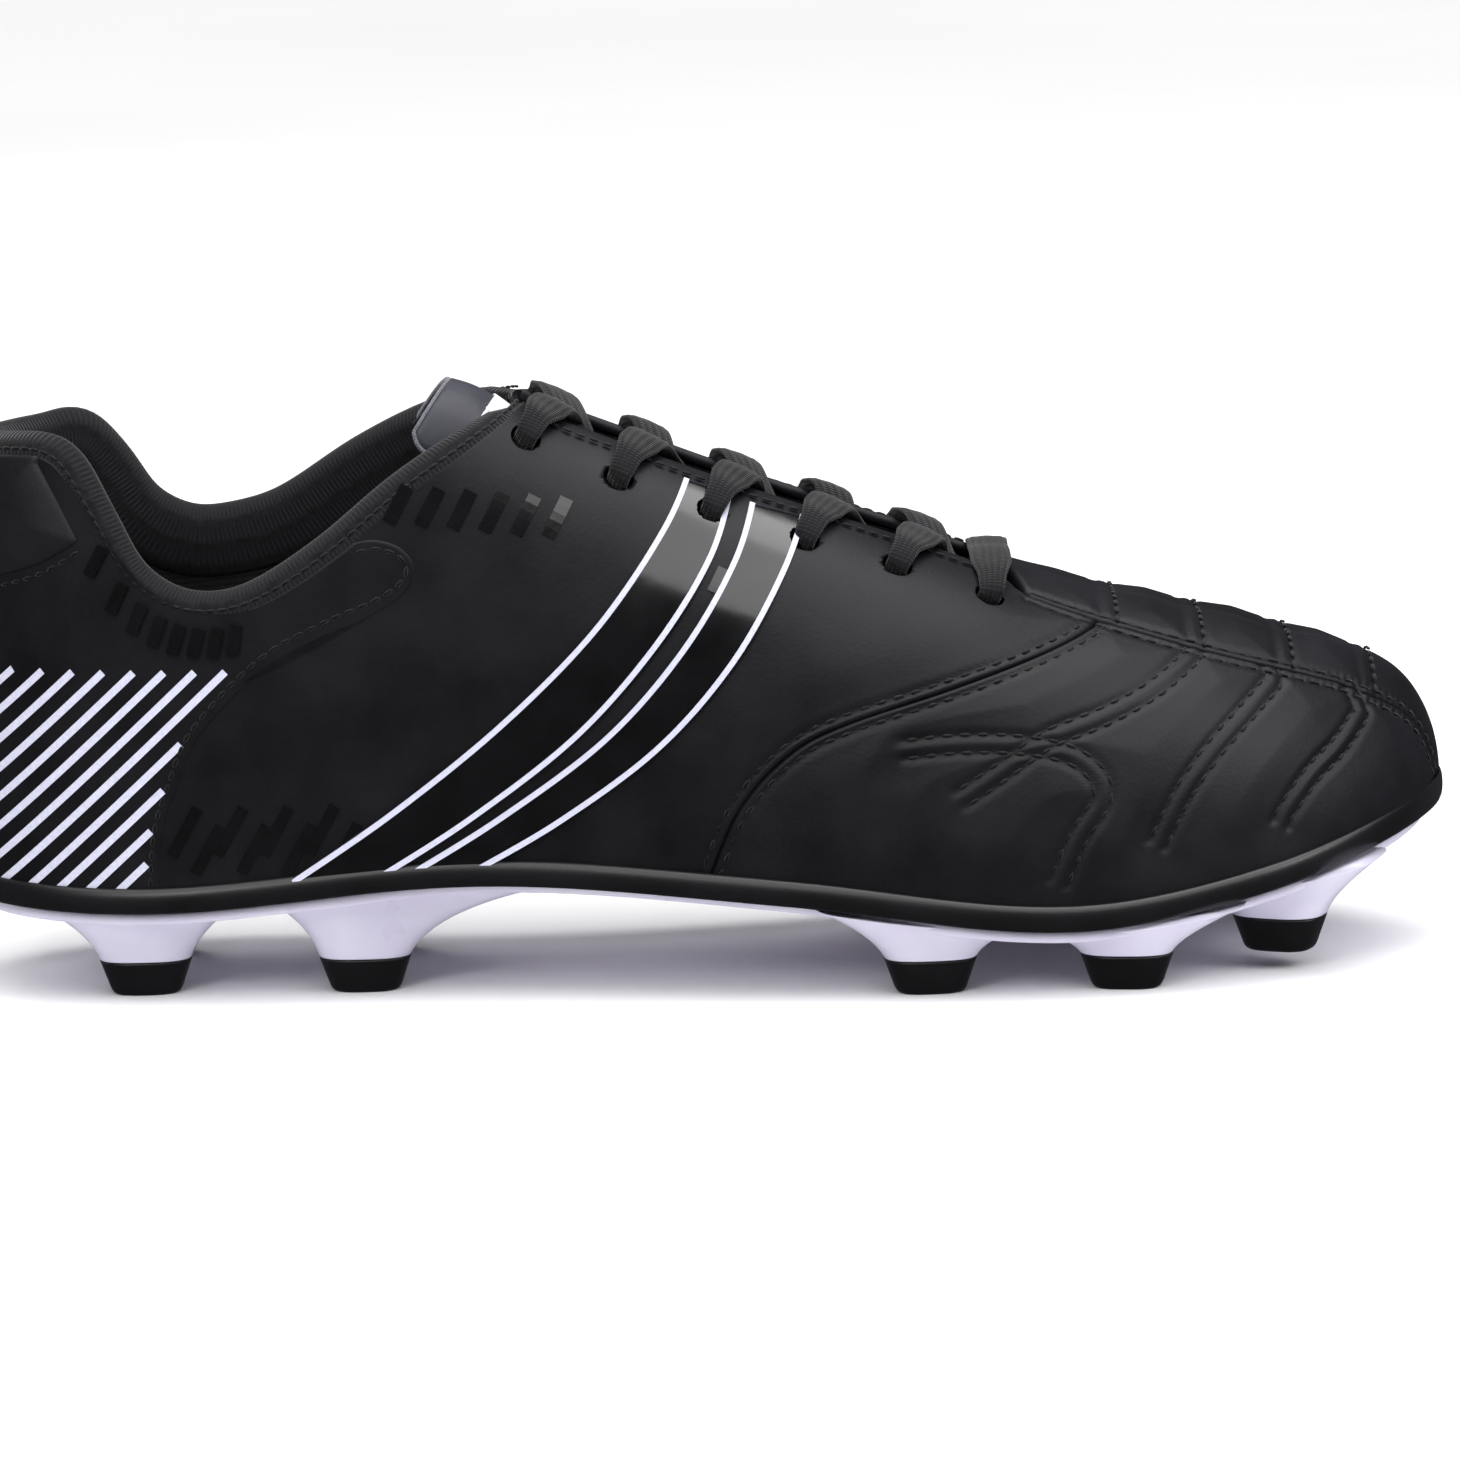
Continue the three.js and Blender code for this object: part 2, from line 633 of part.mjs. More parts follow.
const heelTab = upperSkin.intersect(tabBlock);
const heelFoxing = upperSkin.intersect(behind(FOXING_SEAM, 0)).subtract(tabCut);
const vampTop = upperSkin.intersect(toeStrip(0)).subtract(between(BEHIND_HEEL, THROAT_END - STRIP_OVERLAP));

const vampFront = (side) => upperSkin.intersect(halfSpace[side]).subtract(stripCut)
  .subtract(behind(VAMP_SEAM, SEAM_GAP)).subtract(tabCut);
const quarter = (side) => upperSkin.intersect(halfSpace[side]).subtract(stripCut)
  .intersect(behind(VAMP_SEAM, 0)).subtract(behind(FOXING_SEAM, SEAM_GAP)).subtract(eyeletCutters);

const glossBand = (side) => {
  const band = [...smoothLine(GLOSS_BACK), ...smoothLine(GLOSS_FRONT).reverse()].reverse();
  const raisedRim = soleSlab(FAR / 4, -FAR, RIM_HEIGHT + 2 * GAP);
  return filmShell.intersect(sideBlock(band, ...sideSpan[side])).subtract(throatBlock(FILM_SETBACK))
    .subtract(eyeletCutters).subtract(raisedRim);
};

const bindingInner = (s, t) => liningInner(s, t) - BINDING_INSET;
const collarLip = shell(even(-BINDING_INSET), inside(bindingInner));
const collarBand = collarLip.intersect(underCollar(COLLAR_LIP)).subtract(underCollar(GAP))
  .intersect(between(BEHIND_HEEL, BINDING_FRONT)).subtract(throatBlock(BINDING_SETBACK));

// ---- Inner layers ---------------------------------------------------------------------------

const innerLayer = middleShell.intersect(shaped).subtract(throatBlock(LAYER_SETBACK));
const foamTopLine = smoothLine(FOAM_TOP);
const underFoamTop = (drop) => sideBlock([
  [leftOf, BELOW],
  [rightOf, BELOW],
  [rightOf, foamTopLine.at(-1)[1] - drop],
  ...[...foamTopLine].reverse().map(([x, z]) => [x, z - drop]),
  [leftOf, foamTopLine[0][1] - drop],
], -FAR, FAR);
const collarPadLow = underCollar(-COLLAR_PAD_DROP);
const collarPadding = innerLayer.subtract(collarPadLow).intersect(between(BEHIND_HEEL, COLLAR_PAD_FRONT));
const heelCounter = innerLayer.intersect(underCollar(-COLLAR_PAD_DROP - SEAM_GAP))
  .intersect(between(BEHIND_HEEL, COUNTER_FRONT));
const quarterPad = (side) => innerLayer.intersect(halfSpace[side]).intersect(between(...QUARTER_PAD))
  .intersect(underFoamTop(0));
const vampPad = innerLayer.intersect(between(...VAMP_PAD))
  .intersect(underFoamTop(0).add(between(EYESTAY[1] + 0.005, VAMP_PAD[1])));
const toePuff = innerLayer.intersect(between(TOE_PUFF_START, BEYOND_TOE));
const eyestay = (side) => innerLayer.intersect(halfSpace[side]).intersect(between(...EYESTAY))
  .subtract(underFoamTop(-SEAM_GAP)).subtract(eyeletCutters);
const liningSock = liningShell.intersect(shaped).subtract(throatBlock(LAYER_SETBACK)).subtract(eyeletCutters);

// ---- Tongue ---------------------------------------------------------------------------------

const aboveInstep = sideBlock([[along(0.2), above(0.52)], [along(0.8), above(0.3)], [along(0.8), topOf],
  [along(0.2), topOf]], -FAR, FAR);

function tongueLayer(top, thickness, trim) {
  const start = along(TONGUE_START);
  const end = along(TONGUE_END);
  const round = TONGUE_CORNER;
  const half = TONGUE_HALF - trim;
  const corner = (x, y, from) => spaced(4, (u) => {
    const angle = from + u * Math.PI / 2;
    return [x + round * Math.cos(angle), y + round * Math.sin(angle)];
  });
  const mid = middle(TONGUE_START);
  const back = start + trim;
  const outline = [
    ...corner(back + round, mid - half + round, Math.PI),
    ...corner(end - round, middle(TONGUE_END) - half + round, -Math.PI / 2),
    ...corner(end - round, middle(TONGUE_END) + half - round, 0),
    ...corner(back + round, mid + half - round, Math.PI / 2),
  ];
  return shell(even(-top), even(-top - thickness)).intersect(planBlock(outline)).intersect(aboveInstep);
}

const tonguePadTop = TONGUE_DEPTH + TONGUE_SKIN + GAP;
const tongueLiningTop = tonguePadTop + TONGUE_PADDING + GAP;
const tongueCover = tongueLayer(TONGUE_DEPTH, TONGUE_SKIN, 0);
const tonguePadding = tongueLayer(tonguePadTop, TONGUE_PADDING, TONGUE_PAD_INSET);
const tongueLining = tongueLayer(tongueLiningTop, TONGUE_SKIN, 0);
const labelX = along(TONGUE_START) + LABEL_SETBACK;
const labelMid = middle(TONGUE_START);
const tongueLabel = shell(even(-TONGUE_DEPTH + GAP + LABEL_THICKNESS), even(-TONGUE_DEPTH + GAP))
  .intersect(planBlock([
    [labelX, labelMid - LABEL_WIDTH / 2],
    [labelX + LABEL_LENGTH, labelMid - LABEL_WIDTH / 2],
    [labelX + LABEL_LENGTH, labelMid + LABEL_WIDTH / 2],
    [labelX, labelMid + LABEL_WIDTH / 2],
  ]))
  .intersect(aboveInstep);

// ---- Lace -----------------------------------------------------------------------------------

const laceNeck = EYELET_DIAMETER - EYELET_CLEARANCE;
const laceOver = GAP + FILM + GAP + LACE_THICKNESS / 2 + LACE_RIDE;
const laceUnder = -(stiffenerOuter + STIFFENER + GAP + LINING + LACE_SLACK + LACE_THICKNESS / 2);

// A flat ribbon through waypoints of { point, across, width }.
function ribbon(waypoints, stepsEach) {
  const centre = new THREE.CatmullRomCurve3(waypoints.map((w) => w.point), false, 'centripetal');
  const count = (waypoints.length - 1) * stepsEach;
  const points = [];
  let previous = waypoints[0].across.clone();
  for (let index = 0; index <= count; index += 1) {
    const u = index / count;
    const place = u * (waypoints.length - 1);
    const first = Math.min(Math.floor(place), waypoints.length - 2);
    const blend = place - first;
    const travel = centre.getTangent(u);
    const across = waypoints[first].across.clone().lerp(waypoints[first + 1].across, blend);
    across.addScaledVector(travel, -across.dot(travel)).normalize();
    if (across.dot(previous) < 0) {
      across.negate();
    }
    previous = across.clone();
    const thick = travel.clone().cross(across).normalize();
    const half = lerp(waypoints[first].width, waypoints[first + 1].width, blend) / 2;
    const middlePoint = centre.getPoint(u);
    for (const [a, b] of [[-1, -1], [1, -1], [1, 1], [-1, 1]]) {
      points.push(middlePoint.clone().addScaledVector(across, a * half)
        .addScaledVector(thick, b * LACE_THICKNESS / 2));
    }
  }
  const faces = [[3, 2, 1, 0], [0, 1, 2, 3].map((corner) => corner + 4 * count)];
  for (let index = 0; index < count; index += 1) {
    for (let corner = 0; corner < 4; corner += 1) {
      const a = 4 * index + corner;
      const b = 4 * index + (corner + 1) % 4;
      faces.push([a, b, b + 4, a + 4]);
    }
  }
  return solidFrom(points, faces);
}

const lifted = (place, height) => place.point.clone().addScaledVector(place.normal, height);

// The lace's stretch from the eyelet of one side, inside, across the throat and over the
// opposite edge into the next eyelet.
function crossing(side, row, centreHeight) {
  const from = eyeletAt(side, row);
  const to = eyeletAt(-side, row - 1);
  const plan = (u) => formAbove(lerp(from.point.x, to.point.x, u), lerp(from.point.y, to.point.y, u));
  const travel = to.point.clone().sub(from.point);
  const stop = (u, height, width) => {
    const place = plan(u);
    return { point: lifted(place, height), across: place.normal.clone().cross(travel).normalize(), width };
  };
  return [
    stop(0.08, laceUnder, laceNeck + 1),
    stop(0.2, laceUnder, LACE_WIDTH),
    stop(0.32, laceUnder * 0.7, LACE_WIDTH),
    stop(0.5, centreHeight, LACE_WIDTH),
    stop(0.7, laceOver - 0.2, LACE_WIDTH),
    stop(0.82, laceOver, LACE_WIDTH),
    stop(0.92, laceOver + 0.3, laceNeck + 0.5),
  ];
}

function throughEyelet(side, row, across) {
  const eyelet = eyeletAt(side, row);
  const stop = (height) => ({ point: lifted(eyelet, height), across: across.clone(), width: laceNeck });
  return [stop(1.45), stop(-1.1), stop(-2.9), stop(-4.7)];
}

const bar = (() => {
  const left = eyeletAt(LATERAL, EYELET_ROWS - 1);
  const right = eyeletAt(MEDIAL, EYELET_ROWS - 1);
  const across = new THREE.Vector3(1, 0, 0);
  return [0.09, 0.2, 0.35, 0.5, 0.65, 0.8, 0.91].map((u) => {
    const place = formAbove(lerp(left.point.x, right.point.x, u), lerp(left.point.y, right.point.y, u));
    const ends = Math.min(u, 1 - u) < 0.1;
    const width = ends ? laceNeck + 1 : LACE_WIDTH;
    return { point: lifted(place, laceOver), across: across.clone(), width };
  });
})();

// One half of the lace, from the bar's end at the given side up to its top eyelet.
function laceHalf(side) {
  const stops = [];
  let here = side;
  const barAcross = new THREE.Vector3(1, 0, 0);
  stops.push(...throughEyelet(here, EYELET_ROWS - 1, barAcross));
  for (let row = EYELET_ROWS - 1; row > 0; row -= 1) {
    const run = crossing(here, row, side === LATERAL ? LACE_CROSS_HIGH : LACE_CROSS_LOW);
    stops.push(...run);
    here = -here;
    stops.push(...throughEyelet(here, row - 1, run.at(-1).across));
  }
  return stops;
}

// The lace's end, from under the top eyelet down to the sockliner: [step along the form,
// share of the height from the sockliner up to the eyelet, lean inward].
const TAIL_ROUTE = [[-0.01, 0.94, 0], [-0.04, 0.848, 0], [-0.03, 0.588, 0.5], [0.03, 0.335, 1],
  [0.1, 0.18, 2], [0.18, 0.119, 4.5]];

function tailPlace(side, s, rise) {
  const top = eyeletAt(side, 0).point.z;
  let low = 0;
  let high = 1;
  for (let turn = 0; turn < 30; turn += 1) {
    const t = (low + high) / 2;
    const point = formPoint(side, s, t);
    const floor = soleLine(shareAt(point.x)) + linerLow + SOCKLINER_THICKNESS;
    if (point.z < lerp(floor, top, rise)) {
      low = t;
    } else {
      high = t;
    }
  }
  return (low + high) / 2;
}

function laceTail(side) {
  const eyelet = eyeletAt(side, 0);
  const depth = (s, t) => -(liningInner(s, t) + LACE_SLACK + LACE_THICKNESS / 2);
  return TAIL_ROUTE.map(([ds, rise, inward]) => {
    const s = eyelet.s + ds;
    const t = tailPlace(side, s, rise);
    const normal = formNormal(side, s, t);
    const point = formPoint(side, s, t).addScaledVector(normal, depth(s, t) - inward);
    return { point, normal };
  }).map((stop, index, stops) => {
    const after = stops[Math.min(index + 1, stops.length - 1)];
    const before = stops[Math.max(index - 1, 0)];
    const travel = after.point.clone().sub(before.point);
    return { point: stop.point, across: stop.normal.clone().cross(travel).normalize(), width: LACE_WIDTH };
  });
}

const laceStops = [...laceHalf(LATERAL).reverse(), ...bar, ...laceHalf(MEDIAL)];
for (let index = 1; index < laceStops.length; index += 1) {
  if (laceStops[index].across.dot(laceStops[index - 1].across) < 0) {
    laceStops[index].across.negate();
  }
}
const lace = ribbon(laceStops, 2);
const laceEnd = (side) => ribbon(laceTail(side), 3);

function aglet(side) {
  const stops = laceTail(side);
  const end = stops.at(-1).point;
  const travel = end.clone().sub(stops.at(-2).point).normalize();
  const tube = new THREE.CylinderGeometry(AGLET_DIAMETER / 2, AGLET_DIAMETER / 2, AGLET_LENGTH, 8);
  tube.applyQuaternion(new THREE.Quaternion().setFromUnitVectors(new THREE.Vector3(0, 1, 0), travel));
  return tube.translate(...end.clone().addScaledVector(travel, AGLET_LENGTH / 2 + GAP).toArray());
}

// ---- The cleat ------------------------------------------------------------------------------

const finish = (color, roughness) => new THREE.MeshStandardMaterial({ color, roughness });
const leather = finish('#232326', 0.55);
const padded = finish('#27272b', 0.6);
const gloss = finish('#08080a', 0.12);
const knit = finish('#161618', 0.9);
const foam = finish('#3b3b3f', 0.95);
const stiff = finish('#8d8576', 0.8);
const satin = finish('#3a3a42', 0.5);
const whiteSole = finish('#d6d2e2', 0.35);
const blackSole = finish('#101012', 0.4);
const webbing = finish('#1c1c1e', 0.85);
const white = finish('#eeeef2', 0.6);

const cleat = new THREE.Group();

function add(name, piece, material) {
  const geometry = piece.isBufferGeometry ? piece : toGeometry(piece);
  const mesh = new THREE.Mesh(geometry, material);
  mesh.name = name;
  cleat.add(mesh);
}

add('sole_plate', solePlate, whiteSole);
add('sole_rim', soleRim, blackSole);
for (const stud of studs) {
  add(stud.name, stud.tip, blackSole);
}
add('insole_board', insoleBoard, stiff);
add('sockliner', sockliner, knit);
add('heel_counter', heelCounter, stiff);
add('collar_padding', collarPadding, foam);
add('vamp_padding', vampPad, foam);
add('toe_puff', toePuff, stiff);
add('lining', liningSock, knit);
add('heel_tab', heelTab, padded);
add('heel_foxing', heelFoxing, leather);
add('vamp_top', vampTop, leather);
add('collar_binding', collarBand, knit);
add('tongue_cover', tongueCover, satin);
add('tongue_padding', tonguePadding, foam);
add('tongue_lining', tongueLining, knit);
add('tongue_label', tongueLabel, white);
for (const [side, word] of [[LATERAL, 'outer'], [MEDIAL, 'inner']]) {
  add(`vamp_${word}`, vampFront(side), leather);
  add(`quarter_${word}`, quarter(side), leather);
  add(`quarter_padding_${word}`, quarterPad(side), foam);
  add(`eyestay_${word}`, eyestay(side), stiff);
  add(`side_band_${word}`, glossBand(side), gloss);
  add(`lace_end_${word}`, laceEnd(side), webbing);
  add(`aglet_${word}`, aglet(side), gloss);
}
add('lace', lace, webbing);

// The group's origin is the middle of its box in plan, at the height of the stud tips.
const boxCentre = new THREE.Box3().setFromObject(cleat).getCenter(new THREE.Vector3());
cleat.position.set(-boxCentre.x, -boxCentre.y, 0);

export default cleat;
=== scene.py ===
# %% [markdown]
# # A soccer cleat
# A cleat is a thin layered upper closed over a stiff moulded sole. Every panel of the upper
# lies on one smooth form, the last, so this lesson writes that form once as a function of two
# parameters and lays each panel, stitch row and print on it.
#
# ## The frame
# The frame holds the engineered part: its bodies, solids and joints. Every piece made below
# rides on one of its two bodies, the shoe or the tongue, so that it moves with the joint.

# %% Load the frame
import math

import bmesh
import bpy
import numpy as np
from mathutils import Euler, Matrix, Vector


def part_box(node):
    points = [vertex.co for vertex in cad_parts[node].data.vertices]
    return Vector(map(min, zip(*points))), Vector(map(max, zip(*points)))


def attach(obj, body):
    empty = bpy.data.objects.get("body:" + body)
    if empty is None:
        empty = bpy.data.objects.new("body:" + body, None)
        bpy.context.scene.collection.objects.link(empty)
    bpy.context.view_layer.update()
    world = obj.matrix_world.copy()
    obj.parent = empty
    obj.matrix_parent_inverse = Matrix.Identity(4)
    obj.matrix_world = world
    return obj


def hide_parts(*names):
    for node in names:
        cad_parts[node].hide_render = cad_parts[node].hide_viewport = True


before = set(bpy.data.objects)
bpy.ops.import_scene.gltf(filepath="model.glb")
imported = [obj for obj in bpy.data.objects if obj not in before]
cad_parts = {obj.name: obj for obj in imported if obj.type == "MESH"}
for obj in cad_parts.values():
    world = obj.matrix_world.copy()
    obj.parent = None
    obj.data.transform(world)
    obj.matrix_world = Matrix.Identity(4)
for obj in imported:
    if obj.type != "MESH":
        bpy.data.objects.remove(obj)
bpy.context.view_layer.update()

# %% [markdown]
# ## Sizes
# The sizes are those of the frame, in millimetres. Lengths along the shoe are shares of its
# length, and heights are shares of the upper's height above the ball of the sole. The shoe's
# main lines could be tables, but a few knots with a smooth curve through them are easier to
# read and to change.

# %% Sizes
LENGTH = 285.0
HALF_BALL = 46.5
UPPER = 100.0
BALL = 12.8
GAP = 0.3
SKIN = 1.4
STIFFENER = 0.6
PADDING = 1.6
LINING = 1.0
FILM_GAUGE = 0.5
RIM_WALL = 1.8
RIM_FLOOR = 1.5
BOARD = 1.5
SOCKLINER = 3.5
OUTER, INNER = -1.0, 1.0
WORDS = {OUTER: "outer", INNER: "inner"}


def curve_through(knots):
    """A smooth curve through knots: cubic Hermite pieces whose slope at a knot is that of the
    chord between its neighbours, and flat beyond both ends."""
    x, y = np.array(knots, float).T
    after, before = np.minimum(np.arange(len(x)) + 1, len(x) - 1), np.maximum(np.arange(len(x)) - 1, 0)
    slope = (y[after] - y[before]) / (x[after] - x[before])

    def value(at):
        """The curve at one place or at an array of places."""
        at = np.clip(np.asarray(at, float), x[0], x[-1])
        k = np.clip(np.searchsorted(x, at, side="left") - 1, 0, len(x) - 2)
        span = x[k + 1] - x[k]
        u = (at - x[k]) / span
        lead = u * (1 - u) ** 2 * span * slope[k]
        tail = u * u * (1 - u) * span * slope[k + 1]
        return y[k] + (y[k + 1] - y[k]) * u * u * (3 - 2 * u) + lead - tail

    return value


def smoothstep(value, low, high):
    """Rises from 0 at low to 1 at high as u u (3 - 2 u)."""
    u = np.clip((value - low) / (high - low), 0, 1)
    return u * u * (3 - 2 * u)


sole_rise = curve_through([(0, 5.7), (0.14, 4.8), (0.35, 9.2), (0.56, 5.2), (0.744, 0), (0.877, 5.2),
                           (1, 14.7)])
half_width = curve_through([(0, 0.69), (0.21, 0.71), (0.386, 0.677), (0.526, 0.785), (0.667, 0.957),
                            (0.754, 1), (1, 0.968)])
swing = curve_through([(0, 0), (0.21, -0.01), (0.386, -0.086), (0.526, -0.097), (0.667, -0.054),
                       (0.842, 0.01), (1, 0.13)])
ridge_rise = curve_through([(0.03, 1.09), (0.2, 1.09), (0.35, 1.01), (0.505, 0.847), (0.639, 0.702),
                            (0.702, 0.632), (0.842, 0.526), (0.919, 0.457)])
side_bulge = curve_through([(0, 2.5), (0.2, 2), (0.45, 2.5), (0.75, 1.5), (1, 0.5)])
fullness = curve_through([(0, 2), (0.25, 2.2), (0.4, 2.5), (0.6, 2.1), (1, 2)])
collar_outer = curve_through([(0, 0.895), (0.056, 0.917), (0.084, 0.902), (0.105, 0.802), (0.126, 0.692),
                              (0.154, 0.632), (0.186, 0.617), (0.218, 0.642), (0.263, 0.722), (0.316, 0.842),
                              (0.39, 0.975)])
collar_inner = curve_through([(0, 0.89), (0.056, 0.9), (0.081, 0.905), (0.102, 0.84), (0.123, 0.75),
                              (0.154, 0.7), (0.186, 0.7), (0.225, 0.732), (0.281, 0.833), (0.337, 0.918),
                              (0.39, 0.975)])
HEEL_START, TOE_RIDGE = 0.009, 0.919
ANKLE_BACK, ANKLE_FRONT, ANKLE_FEATHER, ANKLE_HALF = 0.0386, 0.352, 0.375, 0.56
HEEL_ROUND, TOE_ROUND = 7.5, 4.5
LOOP_CLOSES, LOOP_REACH = 0.86, 0.36
THROAT_HALF, THROAT_END = 10.5, 0.722
print("curves for a shoe", LENGTH, "mm long and", 2 * HALF_BALL, "mm wide")

# %% [markdown]
# ## The form
# A surface can be made from a grid of two numbers: s runs from the heel back to the toe tip,
# and t from the sole's edge up to the ridge of the instep or, at the back, to a loop round the
# ankle. A superellipse joins the two edges, because a foot's section is fuller than a circle.

# %% The form's points


def along(share):
    """x at a share of the length."""
    return (np.asarray(share) - 0.5) * LENGTH


def share_of(x):
    """The share of the length at x."""
    return np.asarray(x) / LENGTH + 0.5


def above(share):
    """z at a share of the upper's height."""
    return BALL + np.asarray(share) * UPPER


def middle(share):
    """y of the shoe's middle line, which swings inward at the toe."""
    return swing(share) * HALF_BALL


def sole_line(share):
    """z of the line where the plate meets the rim."""
    return BALL + sole_rise(share)


def feather(side, s):
    """The sole's edge: x runs as (1 - cos(pi s)) / 2, and the half width is the width curve
    times the square root of 1 - |cos(pi s)| to a power that sets how round the end is."""
    share = HEEL_START + (1 - HEEL_START) * (1 - np.cos(np.pi * s)) / 2
    power = np.where(s < 0.5, HEEL_ROUND, TOE_ROUND)
    end = np.sqrt(np.clip(1 - np.abs(np.cos(np.pi * s)) ** power, 0, None))
    y = middle(share) + side * half_width(share) * end * HALF_BALL
    return share, np.stack(np.broadcast_arrays(along(share), y, sole_line(share) + RIM_FLOOR + GAP), -1)


def ridge(side, share):
    """The top edge: an oval loop round the ankle behind, then the middle line to the toe. The
    loop's front closes by a cubic that starts with the oval's own slope, so no crease is left."""
    u = (share - HEEL_START) / (ANKLE_FEATHER - HEEL_START)
    v = np.clip((share - ANKLE_FEATHER) / (1 - ANKLE_FEATHER), 0, 1)
    top = ANKLE_BACK + (ANKLE_FRONT - ANKLE_BACK) * np.clip(u, 0, 1) + (TOE_RIDGE - ANKLE_FRONT) * v
    oval_half = np.sqrt(np.clip(1 - (2 * u - 1) ** 2, 0, None))
    start_half = math.sqrt(1 - (2 * LOOP_CLOSES - 1) ** 2)
    start_slope = -2 * (2 * LOOP_CLOSES - 1) / start_half * LOOP_REACH
    w = np.clip((u - LOOP_CLOSES) / LOOP_REACH, 0, 1)
    closing = start_half * (2 * w ** 3 - 3 * w ** 2 + 1) + start_slope * (w ** 3 - 2 * w ** 2 + w)
    half = ANKLE_HALF * np.where(u < LOOP_CLOSES, oval_half, closing) * HALF_BALL
    y = middle(top) + side * half
    return np.stack(np.broadcast_arrays(along(top), y, above(ridge_rise(top))), -1)


def outward_at(side, s):
    """The level direction square to the sole's edge, from the points just before and after."""
    step = 0.002
    run = feather(side, np.minimum(s + step, 1))[1] - feather(side, np.maximum(s - step, 0))[1]
    out = np.stack([-side * run[..., 1], side * run[..., 0], 0 * run[..., 0]], -1)
    ends = (s <= 0) | (s >= 1)
    out = np.where(ends[..., None], np.stack([np.where(s <= 0, -1.0, 1.0), 0 * s, 0 * s], -1), out)
    return out / np.linalg.norm(out, axis=-1, keepdims=True)


def form(side, s, t):
    """From edge to ridge: across by 1 - cos(t pi/2)^p and up by sin(t pi/2)^p, where p is 2
    over the fullness, and pushed out level by the bulge times sin(pi t)."""
    side, s, t = np.broadcast_arrays(np.asarray(side, float), np.asarray(s, float), np.asarray(t, float))
    share, low = feather(side, s)
    top = ridge(side, share)
    power = 2 / fullness(share)
    angle = t * np.pi / 2
    across = 1 - np.clip(np.cos(angle), 0, None) ** power
    up = np.clip(np.sin(angle), 0, None) ** power
    blend = np.stack([across, across, up], -1)
    bulge = side_bulge(share) * np.sin(np.pi * t)
    return low + (top - low) * blend + outward_at(side, s) * bulge[..., None]


def form_normal(side, s, t):
    """The unit cross product of the steps along s and t, pointing out of the foot."""
    side, s, t = np.broadcast_arrays(np.asarray(side, float), np.asarray(s, float), np.asarray(t, float))
    step = 0.004
    s_in, t_in = np.clip(s, 0.006, 0.994), np.clip(t, 0.004, 0.985)
    ds = form(side, s_in + step, t_in) - form(side, s_in - step, t_in)
    dt = form(side, s_in, t_in + step) - form(side, s_in, t_in - step)
    normal = -side[..., None] * np.cross(ds, dt)
    normal = normal / np.linalg.norm(normal, axis=-1, keepdims=True)
    level = np.where((s < 0.006) | (s > 0.994), 0.0, 1.0)
    normal[..., 1] *= level
    return normal / np.linalg.norm(normal, axis=-1, keepdims=True)


rim_low, rim_high = (np.array(corner) * 1000 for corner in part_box("sole_rim"))
edge_s = np.linspace(0, 1, 400)
edge_plan = np.concatenate([
    feather(side, edge_s)[1][:, :2] + (GAP + RIM_WALL) * outward_at(side, edge_s)[:, :2]
    for side in (OUTER, INNER)])
CENTRE = np.array([*((edge_plan.min(0) + edge_plan.max(0)) / 2 - (rim_low + rim_high)[:2] / 2), 0.0])
print("the form sits", CENTRE.round(2), "mm from the frame's origin")

# %% [markdown]
# ## Finding a place on the form
# A seam is easiest to draw in side view, and the throat in plan. These helpers turn such a
# drawing into s and t by Newton's method, which follows the surface's slope to the target.

# %% Places from drawings


def locate(side, targets, axes):
    """s and t where the form's two chosen coordinates meet the targets: the nearest point of a
    coarse grid, then Newton steps with the 2 by 2 slope matrix inverted by hand."""
    targets = np.asarray(targets, float)
    s0, t0 = np.meshgrid(np.linspace(0.03, 0.97, 95), np.linspace(0.0, 0.97, 60), indexing="ij")
    grid = form(side, s0, t0)[..., axes].reshape(-1, 2)
    near = ((grid[None] - targets[:, None]) ** 2).sum(-1).argmin(1)
    s, t = s0.ravel()[near], t0.ravel()[near]
    step = 1e-4
    for _ in range(14):
        here = form(side, s, t)[:, axes]
        ds = (form(side, s + step, t)[:, axes] - here) / step
        dt = (form(side, s, t + step)[:, axes] - here) / step
        miss = targets - here
        det = ds[:, 0] * dt[:, 1] - ds[:, 1] * dt[:, 0]
        det = np.where(np.abs(det) < 1e-3, 1e-3, det)
        s = np.clip(s + np.clip((miss[:, 0] * dt[:, 1] - miss[:, 1] * dt[:, 0]) / det, -0.03, 0.03), 0.0, 1.0)
        t = np.clip(t + np.clip((ds[:, 0] * miss[:, 1] - ds[:, 1] * miss[:, 0]) / det, -0.05, 0.05), 0.0, 1.0)
    return np.stack([s, t], -1)


def spline(points, count):
    """Catmull-Rom curve through points, resampled to even steps of its own length."""
    points = np.asarray(points, float)
    dense = np.linspace(0, len(points) - 1, 30 * len(points))
    k = np.clip(dense.astype(int), 0, len(points) - 2)
    u = (dense - k)[:, None]
    p0, p1, p2, p3 = (points[np.clip(k + shift, 0, len(points) - 1)] for shift in (-1, 0, 1, 2))
    curve = 0.5 * (2 * p1 + (p2 - p0) * u + (2 * p0 - 5 * p1 + 4 * p2 - p3) * u ** 2
                   + (3 * p1 - p0 - 3 * p2 + p3) * u ** 3)
    return even(curve, count)


def even(curve, count):
    """The same curve with its points spaced evenly along its length."""
    length = np.concatenate([[0], np.cumsum(np.linalg.norm(np.diff(curve, axis=0), axis=1))])
    at = np.linspace(0, length[-1], count)
    return np.stack([np.interp(at, length, column) for column in curve.T], -1)


def in_side_view(side, knots, count=60):
    """s and t along a line drawn in side view by shares of the length and of the height."""
    drawn = spline([(along(a), above(b)) for a, b in knots], count)
    return locate(side, drawn, [0, 2])


